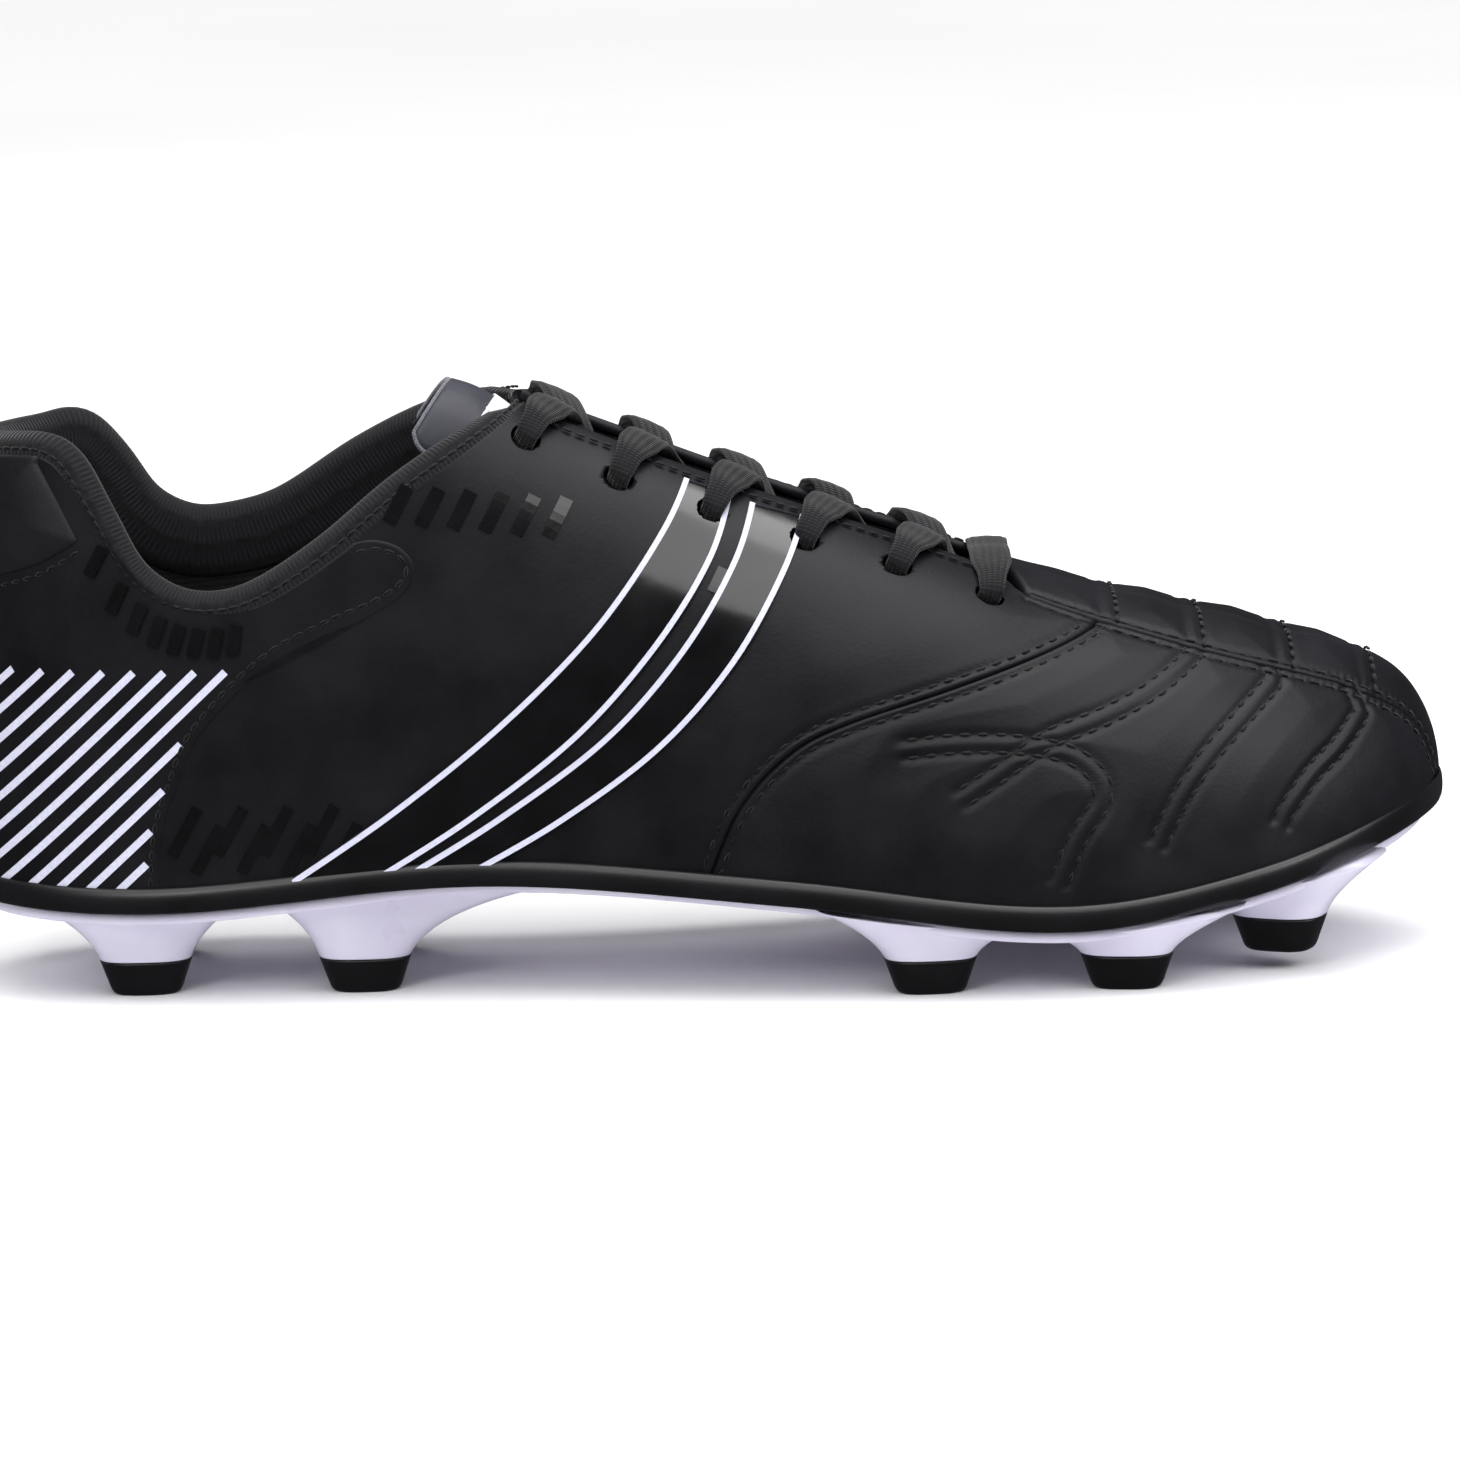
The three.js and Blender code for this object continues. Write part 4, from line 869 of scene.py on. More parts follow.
def tab_grid(side):
    """The heel tab's patch on one side, above its lower seam."""
    front = seams[side]["tab_front"].copy()
    front[-1, 1] = top_of(side, front[-1:, 0], collar_height(side))[0]
    heel_low = top_of(side, np.zeros(1), lambda x: above(TAB_BACK) + 0 * x)[0]
    low = np.concatenate([[[0.0, heel_low]], seams[side]["tab_low"]])
    return heel_grid(side, low, front, 60, 50, heel_low)


FOXING_RISE = 0.8
TAB_CROWN, TAB_SHOULDER = 1.5, 9.0
foxing = shell("heel_foxing_skin", *both_sides(foxing_grid(OUTER), foxing_grid(INNER)), -SKIN, FOXING_RISE)
finish(foxing, LEATHER, "shoe", "grain_synthetic", "heel_foxing")

tab_places = both_sides(tab_grid(OUTER), tab_grid(INNER))
tab_edges = edge_distance(form(*tab_places))
tab_crown = TAB_CROWN * np.sin(np.clip(np.minimum(*tab_edges[:2]) / TAB_SHOULDER, 0, 1) * np.pi / 2)
heel_tab = shell("heel_tab_pad", *tab_places, 0.2, 1.2 + tab_crown, round_edge=1.0)
finish(heel_tab, TAB_LEATHER, "shoe", "grain_synthetic", "heel_tab")

# %% [markdown]
# ## Layers under the skin
# A cleat's upper is a sandwich: skin, stiffeners and foam, and a lining sock. Each layer is the
# same form at two depths, so it needs only a range of s and t and its two depths. Modelling
# them is worth it, because they show through the mouth, the throat and the eyelets.

# %% Inner layers


def s_of(share):
    """The s whose place along the sole's edge is a share of the length."""
    return np.arccos(np.clip(1 - 2 * (np.asarray(share) - HEEL_START) / (1 - HEEL_START), -1, 1)) / np.pi


def padding_at(s, t):
    """Foam thickness: none beside the throat, full elsewhere, with smooth steps between."""
    share = HEEL_START + (1 - HEEL_START) * (1 - np.cos(np.pi * s)) / 2
    throat = smoothstep(share, 0.3, 0.42) * (1 - smoothstep(share, 0.76, 0.84))
    return PADDING * (1 - throat * smoothstep(t, 0.5, 0.72))


STIFF_OUT = SKIN + GAP


def stiff_out(s, t):
    """Depth of a stiffener's outer face."""
    return STIFF_OUT + 0 * s


def stiff_in(s, t):
    """Depth of the padding's inner face."""
    return STIFF_OUT + STIFFENER + padding_at(s, t)


def lining_out(s, t):
    """Depth of the lining's outer face."""
    return stiff_in(s, t) + GAP


def lining_in(s, t):
    """Depth of the lining's inner face."""
    return lining_out(s, t) + LINING


def mouth_limit(side, s, inset=1.0):
    """The highest t that is both under the collar line and outside the throat, by bisection."""
    low, high = np.zeros_like(s), np.ones_like(s)
    for _ in range(26):
        t = (low + high) / 2
        x, y, z = np.moveaxis(form(side, s, t), -1, 0)
        wide = (np.abs(y - middle(share_of(x))) > THROAT_HALF + inset) | (x > along(THROAT_END) + inset)
        inside = (z < collar_height(side)(x)) & wide | (x > along(THROAT_END) + inset)
        low, high = np.where(inside, t, low), np.where(inside, high, t)
    return (low + high) / 2


def span_grid(side, s_from, s_to, t_low, t_high, count_u=90, count_v=40):
    """A grid between two values of s, and between two limits of t that are functions of s."""
    s = np.linspace(s_from, s_to, count_u)
    v = np.linspace(0, 1, count_v)[None]
    low, high = (limit(side, s)[:, None] for limit in (t_low, t_high))
    return s[:, None] + 0 * v, low * (1 - v) + high * v


def floor_limit(side, s):
    """The lowest t of a layer, just above the sole's edge."""
    return 0.012 + 0 * s


def top_limit(side, s):
    """The t of the ridge."""
    return np.full_like(s, 1.0)


def foam_line(side, s):
    """The t where the side's foam ends and the eyestay's stiffener begins."""
    return top_of(side, s, lambda x: above(FOAM_TOP(share_of(x))))


def collar_drop(drop):
    """A limit that lies a distance below the collar line."""
    return lambda side, s: top_of(side, s, lambda x: collar_height(side)(x) - drop)


def layer(name, grids, depth_out, depth_in, material, slot, node):
    """One piece from one or two shells at two depths under the skin."""
    parts = [shell(f"{name}_{index}", sides, s, t, -depth_in(s, t), -depth_out(s, t), round_edge=0.25)
             for index, (sides, s, t) in enumerate(grids)]
    piece = parts[0]
    if len(parts) > 1:
        with bpy.context.temp_override(active_object=piece, selected_editable_objects=parts):
            bpy.ops.object.join()
    piece.name = name
    return finish(piece, material, "shoe", slot, node)


def per_side(*limits):
    """One grid for each side between the same limits."""
    return [(side, *span_grid(side, *limits)) for side in (OUTER, INNER)]


def around_heel(end_share, low, high, *counts):
    """One grid that runs round the heel, from a share on one side to the same on the other."""
    return [both_sides(*(span_grid(side, 0.0, end_share, low, high, *counts) for side in (OUTER, INNER)))]


COUNTER_END, PAD_START, PAD_END, EYESTAY_END = s_of([0.253, 0.257, 0.46, 0.735])
VAMP_BACK, VAMP_MID, VAMP_TOP, VAMP_END, PUFF_START = s_of([0.462, 0.738, 0.742, 0.85, 0.852])
TOE_END = 0.985
COLLAR_PAD_DROP = 26.0

layer("heel_counter_cup", around_heel(COUNTER_END, floor_limit, collar_drop(COLLAR_PAD_DROP + 0.4)),
      stiff_out, stiff_in, FIBREBOARD, "stiffener", "heel_counter")
foams = [layer("collar_foam", around_heel(COUNTER_END, collar_drop(COLLAR_PAD_DROP), collar_drop(0)),
               stiff_out, stiff_in, FOAM, "foam", "collar_padding")]
for side in (OUTER, INNER):
    word = WORDS[side]
    foams.append(layer(f"quarter_foam_{word}",
                       [(side, *span_grid(side, PAD_START, PAD_END, floor_limit, foam_line))],
                       stiff_out, stiff_in, FOAM, "foam", f"quarter_padding_{word}"))
    throat_start = seams[side]["throat"][0, 0]
    layer(f"eyestay_backer_{word}",
          [(side, *span_grid(side, throat_start - 0.02, EYESTAY_END,
                             lambda side, s: foam_line(side, s) + 0.01, mouth_limit))],
          stiff_out, stiff_in, EYESTAY_CLOTH, "stiffener", f"eyestay_{word}")
foams.append(layer("vamp_foam", per_side(VAMP_TOP, VAMP_END, floor_limit, top_limit)
                   + per_side(VAMP_BACK, VAMP_MID, floor_limit, foam_line),
                   stiff_out, stiff_in, FOAM, "foam", "vamp_padding"))
layer("toe_box_stiffener", per_side(PUFF_START, TOE_END, floor_limit, top_limit),
      stiff_out, stiff_in, FIBREBOARD, "stiffener", "toe_puff")
layer("lining_sock", around_heel(TOE_END, floor_limit, mouth_limit, 260, 90),
      lining_out, lining_in, MESH, "mesh_textile", "lining")

# %% [markdown]
# ## Sweeping a profile
# Bindings, laces and thread all carry a section along a path. The frame at each point is the
# travel direction, a given across direction made square to it, and their cross product.

# %% Sweep helpers


def unit(vectors):
    """Vectors divided by their own lengths."""
    return vectors / np.maximum(np.linalg.norm(vectors, axis=-1, keepdims=True), 1e-9)


def sweep(name, path, across, section):
    """Carries a closed section along a path. section is an array of (across, thick) offsets,
    one row for all points or one row for each point, and both ends are capped by a face."""
    travel = unit(np.gradient(path, axis=0))
    across = unit(across - (across * travel).sum(-1, keepdims=True) * travel)
    thick = np.cross(travel, across)
    section = np.broadcast_to(section, (len(path), *np.shape(section)[-2:]))
    points = path[:, None] + across[:, None] * section[..., :1] + thick[:, None] * section[..., 1:]
    count, ring = points.shape[:2]
    faces = list(grid_faces(count, ring, wrap_columns=True))
    length = np.concatenate([[0], np.cumsum(np.linalg.norm(np.diff(path, axis=0), axis=1))])
    girth = np.concatenate([[0], np.cumsum(np.linalg.norm(np.diff(section[0], axis=0), axis=1))])
    uv = np.stack(np.broadcast_arrays(length[:, None], girth[None]), -1)
    faces += [np.arange(ring)[::-1], np.arange(ring) + (count - 1) * ring]
    x, y = section[0].T
    if np.sum(x * np.roll(y, -1) - np.roll(x, -1) * y) < 0:
        faces = [face[::-1] for face in faces]
    return make_piece(name, points, faces, uv)


def oval(width, thickness, count=24, power=2.6):
    """A superellipse section: each axis is |cos| or |sin| to 2/power, with its sign."""
    angle = np.linspace(0, 2 * np.pi, count, endpoint=False)
    c, s = np.cos(angle), np.sin(angle)
    wide, thick = (np.asarray(size)[..., None] / 2 for size in (width, thickness))
    return np.stack([wide * np.sign(c) * np.abs(c) ** (2 / power),
                     thick * np.sign(s) * np.abs(s) ** (2 / power)], -1)


# %% [markdown]
# ## Collar binding
# A soft knit binding is sewn over the top edge, filled by the collar foam, and turned inside.
# Its section is drawn once, as depth and rise from the leather's edge, and swept round. Cloth
# simulation isn't needed, because the roll is stuffed and keeps its section all the way.

# %% Collar binding
BINDING = np.array([(-0.6, -2.2), (0.5, -1.2), (0.7, 0.4), (0.2, 2.2), (-1.0, 3.6), (-2.6, 4.3),
                    (-4.3, 3.9), (-5.7, 2.6), (-6.5, 0.6), (-6.8, -2.5), (-6.6, -6.0), (-5.9, -9.0),
                    (-5.0, -9.2), (-4.4, -6.0), (-3.6, -3.0), (-2.0, -2.6)])
RIM_POINTS = 260


def collar_path():
    """The collar line from one throat corner round the heel to the other, with its normals,
    both smoothed by a short bell-shaped window."""
    lines = {}
    for side in (OUTER, INNER):
        edge = even(collar_edge(side, 0.0, seams[side]["throat"][0, 0], count=300), 300)
        lines[side] = (form(side, *edge.T), form_normal(side, *edge.T))
    points = np.concatenate([lines[OUTER][0][::-1], lines[INNER][0][1:]])
    normals = np.concatenate([lines[OUTER][1][::-1], lines[INNER][1][1:]])
    both = even(np.concatenate([points, normals], 1), RIM_POINTS)
    window = np.hanning(9)[1:-1] / np.hanning(9)[1:-1].sum()
    padded = np.pad(both, ((3, 3), (0, 0)), mode="edge")
    smooth = np.stack([np.convolve(column, window, mode="valid") for column in padded.T], -1)
    return smooth[:, :3], unit(smooth[:, 3:])


rim_path, rim_normal = collar_path()
dense_section = spline(np.concatenate([BINDING, BINDING[:1]]), 49)[:-1]
steps_from_end = np.minimum(np.arange(RIM_POINTS), np.arange(RIM_POINTS)[::-1])
end_scale = np.clip(steps_from_end / 8, 0.35, 1)[:, None, None]
binding = sweep("collar_binding_roll", rim_path, rim_normal, dense_section * end_scale)
finish(binding, BINDING_KNIT, "shoe", "mesh_textile", "collar_binding")

# %% [markdown]
# ## Gloss bands, dashes and printed lines
# Films and prints follow the leather closely. They could be painted on by an image, but a thin
# closed strip lifted a little from the form has a real edge that catches the light, and its
# outline is drawn in side view like a seam.

# %% Films and prints
BAND_RAILS = {
    "rear_band": ([(0.232, 0.11), (0.30, 0.24), (0.372, 0.40), (0.436, 0.575), (0.482, 0.75), (0.502, 0.86)],
                  [(0.288, 0.115), (0.35, 0.225), (0.42, 0.375), (0.474, 0.54), (0.512, 0.70),
                   (0.528, 0.83)]),
    "front_band": ([(0.308, 0.118), (0.37, 0.225), (0.44, 0.37), (0.492, 0.53), (0.528, 0.69), (0.543, 0.81)],
                   [(0.350, 0.122), (0.41, 0.22), (0.475, 0.355), (0.525, 0.51), (0.56, 0.67),
                    (0.578, 0.79)]),
}
LINE_WIDTH = 1.05
FILM_HIGH, FILM_LOW, FILM_END = 1.05, 0.3, 14.5
INK_LIFT, STRIP_DEPTH = 0.15, 0.48


def out_from_middle(side, st):
    """Plan distance of points on the form from its middle line."""
    points = form(side, st[..., 0], st[..., 1])
    return np.abs(points[..., 1] - middle(share_of(points[..., 0])))


def film_lift(side, st):
    """A film's height over the skin: full on the side, and lower by a smooth step under the laces."""
    return FILM_LOW + (FILM_HIGH - FILM_LOW) * smoothstep(out_from_middle(side, st), 26, 32)


def strip_between(side, st, width, high, low):
    """Rings of four points for a thin strip along a line, between two heights over the form."""
    points = on_form(side, st)
    normal = form_normal(side, *st.T)
    half = unit(np.cross(normal, np.gradient(points, axis=0))) * width / 2
    top, bottom = (points + normal * np.reshape(height, (-1, 1)) for height in (high, low))
    return np.stack([top - half, top + half, bottom + half, bottom - half], 1)


def flat_strip(side, st, width, lift):
    """A strip that follows the quilted skin, lifted from it and sunk a little into it."""
    lift = lift + sewn_relief(on_form(side, st))
    return strip_between(side, st, width, lift, lift - STRIP_DEPTH)


def join_strips(name, strips):
    """One mesh of several closed strips, each a stack of four-cornered rings."""
    faces, points, start = [], [], 0
    for strip in strips:
        count = len(strip)
        faces += list(grid_faces(count, 4, wrap_columns=True, start=start))
        faces += [start + np.array([3, 2, 1, 0]), start + (count - 1) * 4 + np.arange(4)]
        points.append(strip.reshape(-1, 3))
        start += 4 * count
    piece = make_piece(name, np.concatenate(points), faces, smooth=False)
    mesh_tool = bmesh.new()
    mesh_tool.from_mesh(piece.data)
    bmesh.ops.recalc_face_normals(mesh_tool, faces=mesh_tool.faces)
    mesh_tool.to_mesh(piece.data)
    mesh_tool.free()
    return piece


def up_to_throat(side, st):
    """Keeps the stretch of a line that ends a little before the throat's edge."""
    return st[out_from_middle(side, st) > FILM_END]


films = []
for side in (OUTER, INNER):
    outlines = []
    for name, rails in BAND_RAILS.items():
        back, front = (up_to_throat(side, in_side_view(side, rail, 90)) for rail in rails)
        low, high = (np.linspace(back[end], front[end], 10) for end in (0, -1))
        s, t = coons(back, front, low, high, 30, 110)
        lift = film_lift(side, np.stack([s, t], -1))
        film = shell(f"{name}_{WORDS[side]}", side, s, t, -0.3, lift, sewn_relief, round_edge=0.25)
        films.append((side, film))
        nodes = [f"side_band_{WORDS[side]}"] if name == "rear_band" else []
        finish(film, FILM, "shoe", "gloss_film", *nodes)
        outlines += [flat_strip(side, line, LINE_WIDTH, film_lift(side, line) + INK_LIFT)
                     for line in (back, front)]
    lines = join_strips(f"band_outlines_{WORDS[side]}", outlines)
    finish(lines, INK, "shoe", "gloss_film")

# %% [markdown]
# ## Hatching on the foxing
# The white stripes near the heel are parallel in side view, so each is a straight line in x and
# z that is put down on the form. A stripe stops where the foxing's front seam cuts it, and one
# that crosses the curved seam twice is left as two stretches.

# %% Hatching on the foxing
HATCH_PITCH, HATCH_SLOPE, HATCH_WIDTH = 5.75, 1.07, 1.4
HATCH_TOP, HATCH_LOW, HATCH_FRONT = 64.0, 20.5, 66.3
HATCH_SEAM_GAP, HATCH_HEEL_GAP = 2.6, 7.5


def hatch_lines(side):
    """Parallel slanted lines in side view, cut off where the foxing's front seam crosses them."""
    seam = form(side, *seams[side]["foxing"].T)
    order = np.argsort(seam[:, 2])
    strips = []
    for index in range(-5, 11):
        height = np.linspace(HATCH_LOW, HATCH_TOP, 90)
        x = along(0) + HATCH_FRONT - HATCH_PITCH * index - HATCH_SLOPE * (HATCH_TOP - height)
        limit = np.interp(height, seam[order, 2], seam[order, 0]) - HATCH_SEAM_GAP
        keep = (x < limit) & (x > along(0) + HATCH_HEEL_GAP)
        run = np.cumsum(np.diff(keep, prepend=keep[:1]))
        for part in (keep & (run == number) for number in np.unique(run)):
            if part.sum() > 6:
                st = locate(side, np.stack([x, height], -1)[part], [0, 2])
                strips.append(strip_between(side, st, HATCH_WIDTH, FOXING_RISE + INK_LIFT,
                                            FOXING_RISE - 0.2))
    return strips


hatching = join_strips("heel_hatching", hatch_lines(OUTER) + hatch_lines(INNER))
finish(hatching, INK, "shoe", "grain_synthetic")

# %% [markdown]
# ## Gloss dashes
# Small slanted tiles of the same film stand in rows beside the collar, on the eyestay and near
# the sole. Each is a short strip of its own, and all of them are one mesh.

# %% Gloss dashes


def dash(side, x, z, width, height, lean, lift):
    """A small slanted film tile: a short strip whose line leans by dx over its height."""
    rise = np.linspace(-0.5, 0.5, 6)
    st = locate(side, np.stack([x + lean * rise, z + height * rise], -1), [0, 2])
    return flat_strip(side, st, width, lift)


def dash_rows(side):
    """Four rows of tiles: on the eyestay, ahead of it, low on the quarter and under the collar."""
    heel = along(0)
    eyestay = [dash(side, heel + 88 + 5.9 * k, 94.5 - 0.75 * k, 2.6, 6.5, 3.6, 0.25) for k in range(6)]
    ahead = [dash(side, heel + 138 + 4.6 * k, 82.5 - 2.0 * k, 2.2, 4.0, 2.2, 0.25) for k in range(3)]
    low = [dash(side, heel + 46 + 4.3 * k, 33.5 - 3.5 * (k % 2), 2.2, 9.0, 5.2, 0.2) for k in range(8)]
    collar = []
    for k in range(8):
        x = heel + 31.5 + 3.6 * k
        z = collar_height(side)(x) - 5.0
        collar.append(dash(side, x, z, 2.3, 5.5, 3.0 - 0.3 * k, FOXING_RISE + INK_LIFT))
    return eyestay + ahead + low + collar


tiles = dash_rows(OUTER) + dash_rows(INNER)
finish(join_strips("gloss_dashes", tiles), FILM, "shoe", "gloss_film")
print(len(tiles), "gloss tiles")

# %% [markdown]
# ## Laces
# The lace is a flat tubular webbing. It follows one path through all the eyelets: out of sight
# under the throat's edge, across the tongue, over the far edge, and down the next eyelet. The
# path could be simulated, but a tied lace is taut, so a curve through chosen stops is enough.

# %% Lace path
ROWS, EYELET_FIRST, EYELET_LAST = 6, 0.392, 0.695
EYELET_TOP_OUT, EYELET_FRONT_OUT, EYELET_HOLE = 19.5, 22.0, 5.8
LACE_WIDTH, LACE_THICK, NECK = 7.8, 1.2, 4.5
LACE_RIDE, LACE_SLACK, RIBS = 0.7, 1.6, 6
LACE_OVER = GAP + FILM_GAUGE + GAP + LACE_THICK / 2 + LACE_RIDE
LACE_UNDER = -(STIFF_OUT + STIFFENER + GAP + LINING + LACE_SLACK + LACE_THICK / 2)
CROSS_HIGH, CROSS_LOW = -1.0, -2.9


def over_plan(x, y):
    """Points and normals of the form above plan positions."""
    x, y = np.atleast_1d(x).astype(float), np.atleast_1d(y).astype(float)
    side = np.where(y < middle(share_of(x)), OUTER, INNER)
    st = np.zeros((len(x), 2))
    for value in (OUTER, INNER):
        chosen = side == value
        if chosen.any():
            st[chosen] = locate(value, np.stack([x, y], -1)[chosen], [0, 1])
    points = form(side, st[:, 0], st[:, 1])
    return points, form_normal(side, st[:, 0], np.minimum(st[:, 1], 0.985)), st


def eyelet_row(side):
    """Centres, normals and places of the eyelets on one side, evenly spaced along the throat."""
    u = np.linspace(0, 1, ROWS)
    share = EYELET_FIRST + (EYELET_LAST - EYELET_FIRST) * u
    out = EYELET_TOP_OUT + (EYELET_FRONT_OUT - EYELET_TOP_OUT) * u
    return over_plan(along(share), middle(share) + side * out)


eyelets = {side: eyelet_row(side) for side in (OUTER, INNER)}


def crossing(side, row, centre):
    """Seven stops from one side's eyelet to the next one opposite, at shares of the way."""
    start, end = eyelets[side][0][row], eyelets[-side][0][row - 1]
    u = np.array([0.08, 0.2, 0.32, 0.5, 0.7, 0.82, 0.92])[:, None]
    plan = start[None, :2] * (1 - u) + end[None, :2] * u
    points, normals, _ = over_plan(plan[:, 0], plan[:, 1])
    height = np.array([LACE_UNDER, LACE_UNDER, LACE_UNDER * 0.7, centre,
                       LACE_OVER - 0.2, LACE_OVER, LACE_OVER + 0.3])
    width = np.array([NECK + 0.5, 7.0, LACE_WIDTH, 8.2, 8.5, 8.0, NECK + 0.8])
    return points + normals * height[:, None], np.cross(normals, end - start), width


def through(side, row, across):
    """Four stops down an eyelet, from outside to inside."""
    point, normal = eyelets[side][0][row], eyelets[side][1][row]
    height = np.array([1.45, -1.1, -2.9, -4.7])[:, None]
    return point + normal * height, np.repeat(across[None], 4, 0), np.full(4, NECK)


def lace_half(side):
    """The stops of one half of the lace, from its front eyelet zigzagging up to the top one."""
    stops, here = [through(side, ROWS - 1, np.array([1.0, 0, 0]))], side
    for row in range(ROWS - 1, 0, -1):
        run = crossing(here, row, CROSS_HIGH if side == OUTER else CROSS_LOW)
        here = -here
        stops += [run, through(here, row - 1, run[1][-1])]
    return [np.concatenate(part) for part in zip(*stops)]


def front_bar():
    """The straight run between the two front eyelets, over the throat's end."""
    u = np.array([0.09, 0.2, 0.35, 0.5, 0.65, 0.8, 0.91])[:, None]
    plan = eyelets[OUTER][0][-1, :2] * (1 - u) + eyelets[INNER][0][-1, :2] * u
    points, normals, _ = over_plan(plan[:, 0], plan[:, 1])
    width = np.where(np.minimum(u, 1 - u)[:, 0] < 0.1, NECK + 1, LACE_WIDTH)
    return points + normals * LACE_OVER, np.repeat([[1.0, 0, 0]], 7, 0), width


def centripetal(points, steps):
    """Catmull-Rom with knots spaced by the root of the chord, as cubic Hermite pieces."""
    padded = np.concatenate([[2 * points[0] - points[1]], points, [2 * points[-1] - points[-2]]])
    gap = np.sqrt(np.linalg.norm(np.diff(padded, axis=0), axis=1))[:, None]
    p0, p1, p2, p3 = padded[:-3], padded[1:-2], padded[2:-1], padded[3:]
    d0, d1, d2 = gap[:-2], gap[1:-1], gap[2:]
    m1 = ((p1 - p0) / d0 - (p2 - p0) / (d0 + d1) + (p2 - p1) / d1) * d1
    m2 = ((p2 - p1) / d1 - (p3 - p1) / (d1 + d2) + (p3 - p2) / d2) * d1
    u = np.linspace(0, 1, steps, endpoint=False)[None, :, None]
    a, b, c, d = p1[:, None], m1[:, None], p2[:, None], m2[:, None]
    curve = (a * (2 * u ** 3 - 3 * u ** 2 + 1) + b * (u ** 3 - 2 * u ** 2 + u)
             + c * (3 * u ** 2 - 2 * u ** 3) + d * (u ** 3 - u ** 2))
    return np.concatenate([curve.reshape(-1, 3), points[-1:]])


def webbing(name, points, across, width, steps=7, thick=1.5):
    """A ribbed flat lace: an oval whose thickness carries lengthways ribs."""
    for index in range(1, len(across)):
        if np.dot(across[index], across[index - 1]) < 0:
            across[index] *= -1
    path = centripetal(points, steps)
    at = np.linspace(0, len(points) - 1, len(path))
    across = np.stack([np.interp(at, np.arange(len(points)), column) for column in unit(across).T], -1)
    width = np.interp(at, np.arange(len(points)), width)
    section = oval(width, thick + 0.6 * (LACE_WIDTH - width) / LACE_WIDTH, 36)
    ribs = 1 + 0.10 * np.cos(section[..., :1] / width[:, None, None] * 2 * np.pi * RIBS)
    section = section * np.concatenate([np.ones_like(ribs), ribs], -1)
    piece = sweep(name, path, across, section)
    return finish(piece, WEBBING, "shoe", "webbing", name.replace("webbing_", "")), path


outer_half, inner_half, bar = lace_half(OUTER), lace_half(INNER), front_bar()
lace_stops = [np.concatenate([outer_half[k][::-1], bar[k], inner_half[k]]) for k in range(3)]
_, lace_path = webbing("webbing_lace", *lace_stops)
print("lace path", np.linalg.norm(np.diff(lace_path, axis=0), axis=1).sum().round(), "mm")

# %% [markdown]
# ## Lace ends
# Both ends are tucked in under the top eyelets and lie along the lining, down to the sockliner,
# with a rolled acetate tip on each. They are the only free cords. They could be simulated, but
# here their stops are chosen along the lining.

# %% Lace ends
TAIL = np.array([(-0.01, 0.94, 0), (-0.04, 0.848, 0), (-0.03, 0.588, 0.5), (0.03, 0.335, 1), (0.1, 0.18, 2),
                 (0.18, 0.119, 4.5)])
SOCK_TOP = RIM_FLOOR + GAP + BOARD + GAP + SOCKLINER
AGLET_LONG, AGLET_RADIUS, AGLET_RINGS = 17.0, 1.8, 40


def tail_stops(side):
    """The lace's end, from under the top eyelet down the lining to the sockliner."""
    eyelet, _, st = (part[0] for part in eyelets[side])
    s = st[0] + TAIL[:, 0]
    low, high = np.zeros(len(s)), np.ones(len(s))
    for _ in range(30):
        t = (low + high) / 2
        x, _, z = form(side, s, t).T
        floor_height = sole_line(share_of(x)) + SOCK_TOP
        under = z < floor_height + (eyelet[2] - floor_height) * TAIL[:, 1]
        low, high = np.where(under, t, low), np.where(under, high, t)
    normal = form_normal(side, s, t)
    depth = lining_in(s, t) + LACE_SLACK + LACE_THICK / 2 + TAIL[:, 2]
    points = form(side, s, t) - normal * depth[:, None]
    travel = np.concatenate([points[1:], points[-1:]]) - np.concatenate([points[:1], points[:-1]])
    return points, np.cross(normal, travel), np.full(len(points), LACE_WIDTH)


for side in (OUTER, INNER):
    word = WORDS[side]
    end, end_path = webbing(f"webbing_lace_end_{word}", *tail_stops(side), steps=14, thick=1.3)
    travel = unit(end_path[-1] - tail_stops(side)[0][-2])
    reach = np.linspace(0, AGLET_LONG, AGLET_RINGS)
    tube = end_path[-1] + travel * (GAP + reach)[:, None]
    radius = AGLET_RADIUS * (1 - 0.12 * np.exp(-reach[:, None, None] / 1.2))
    across = np.repeat([[0.0, 1.0, 0.3]], AGLET_RINGS, 0)
    tip = sweep(f"aglet_tube_{word}", tube, across, oval(2.0, 2.0, 24, 2.0) * radius)
    finish(tip, ACETATE, "shoe", "aglet_plastic", f"aglet_{word}")

# %% [markdown]
# ## Eyelet holes
# The eyelets are punched through the leather and the film, with no metal ring. Leaving holes in
# the grid would spoil its even rows, so a boolean cuts them afterwards, as a real punch does.

# %% Eyelet holes
PUNCH_DEPTH = 12.0


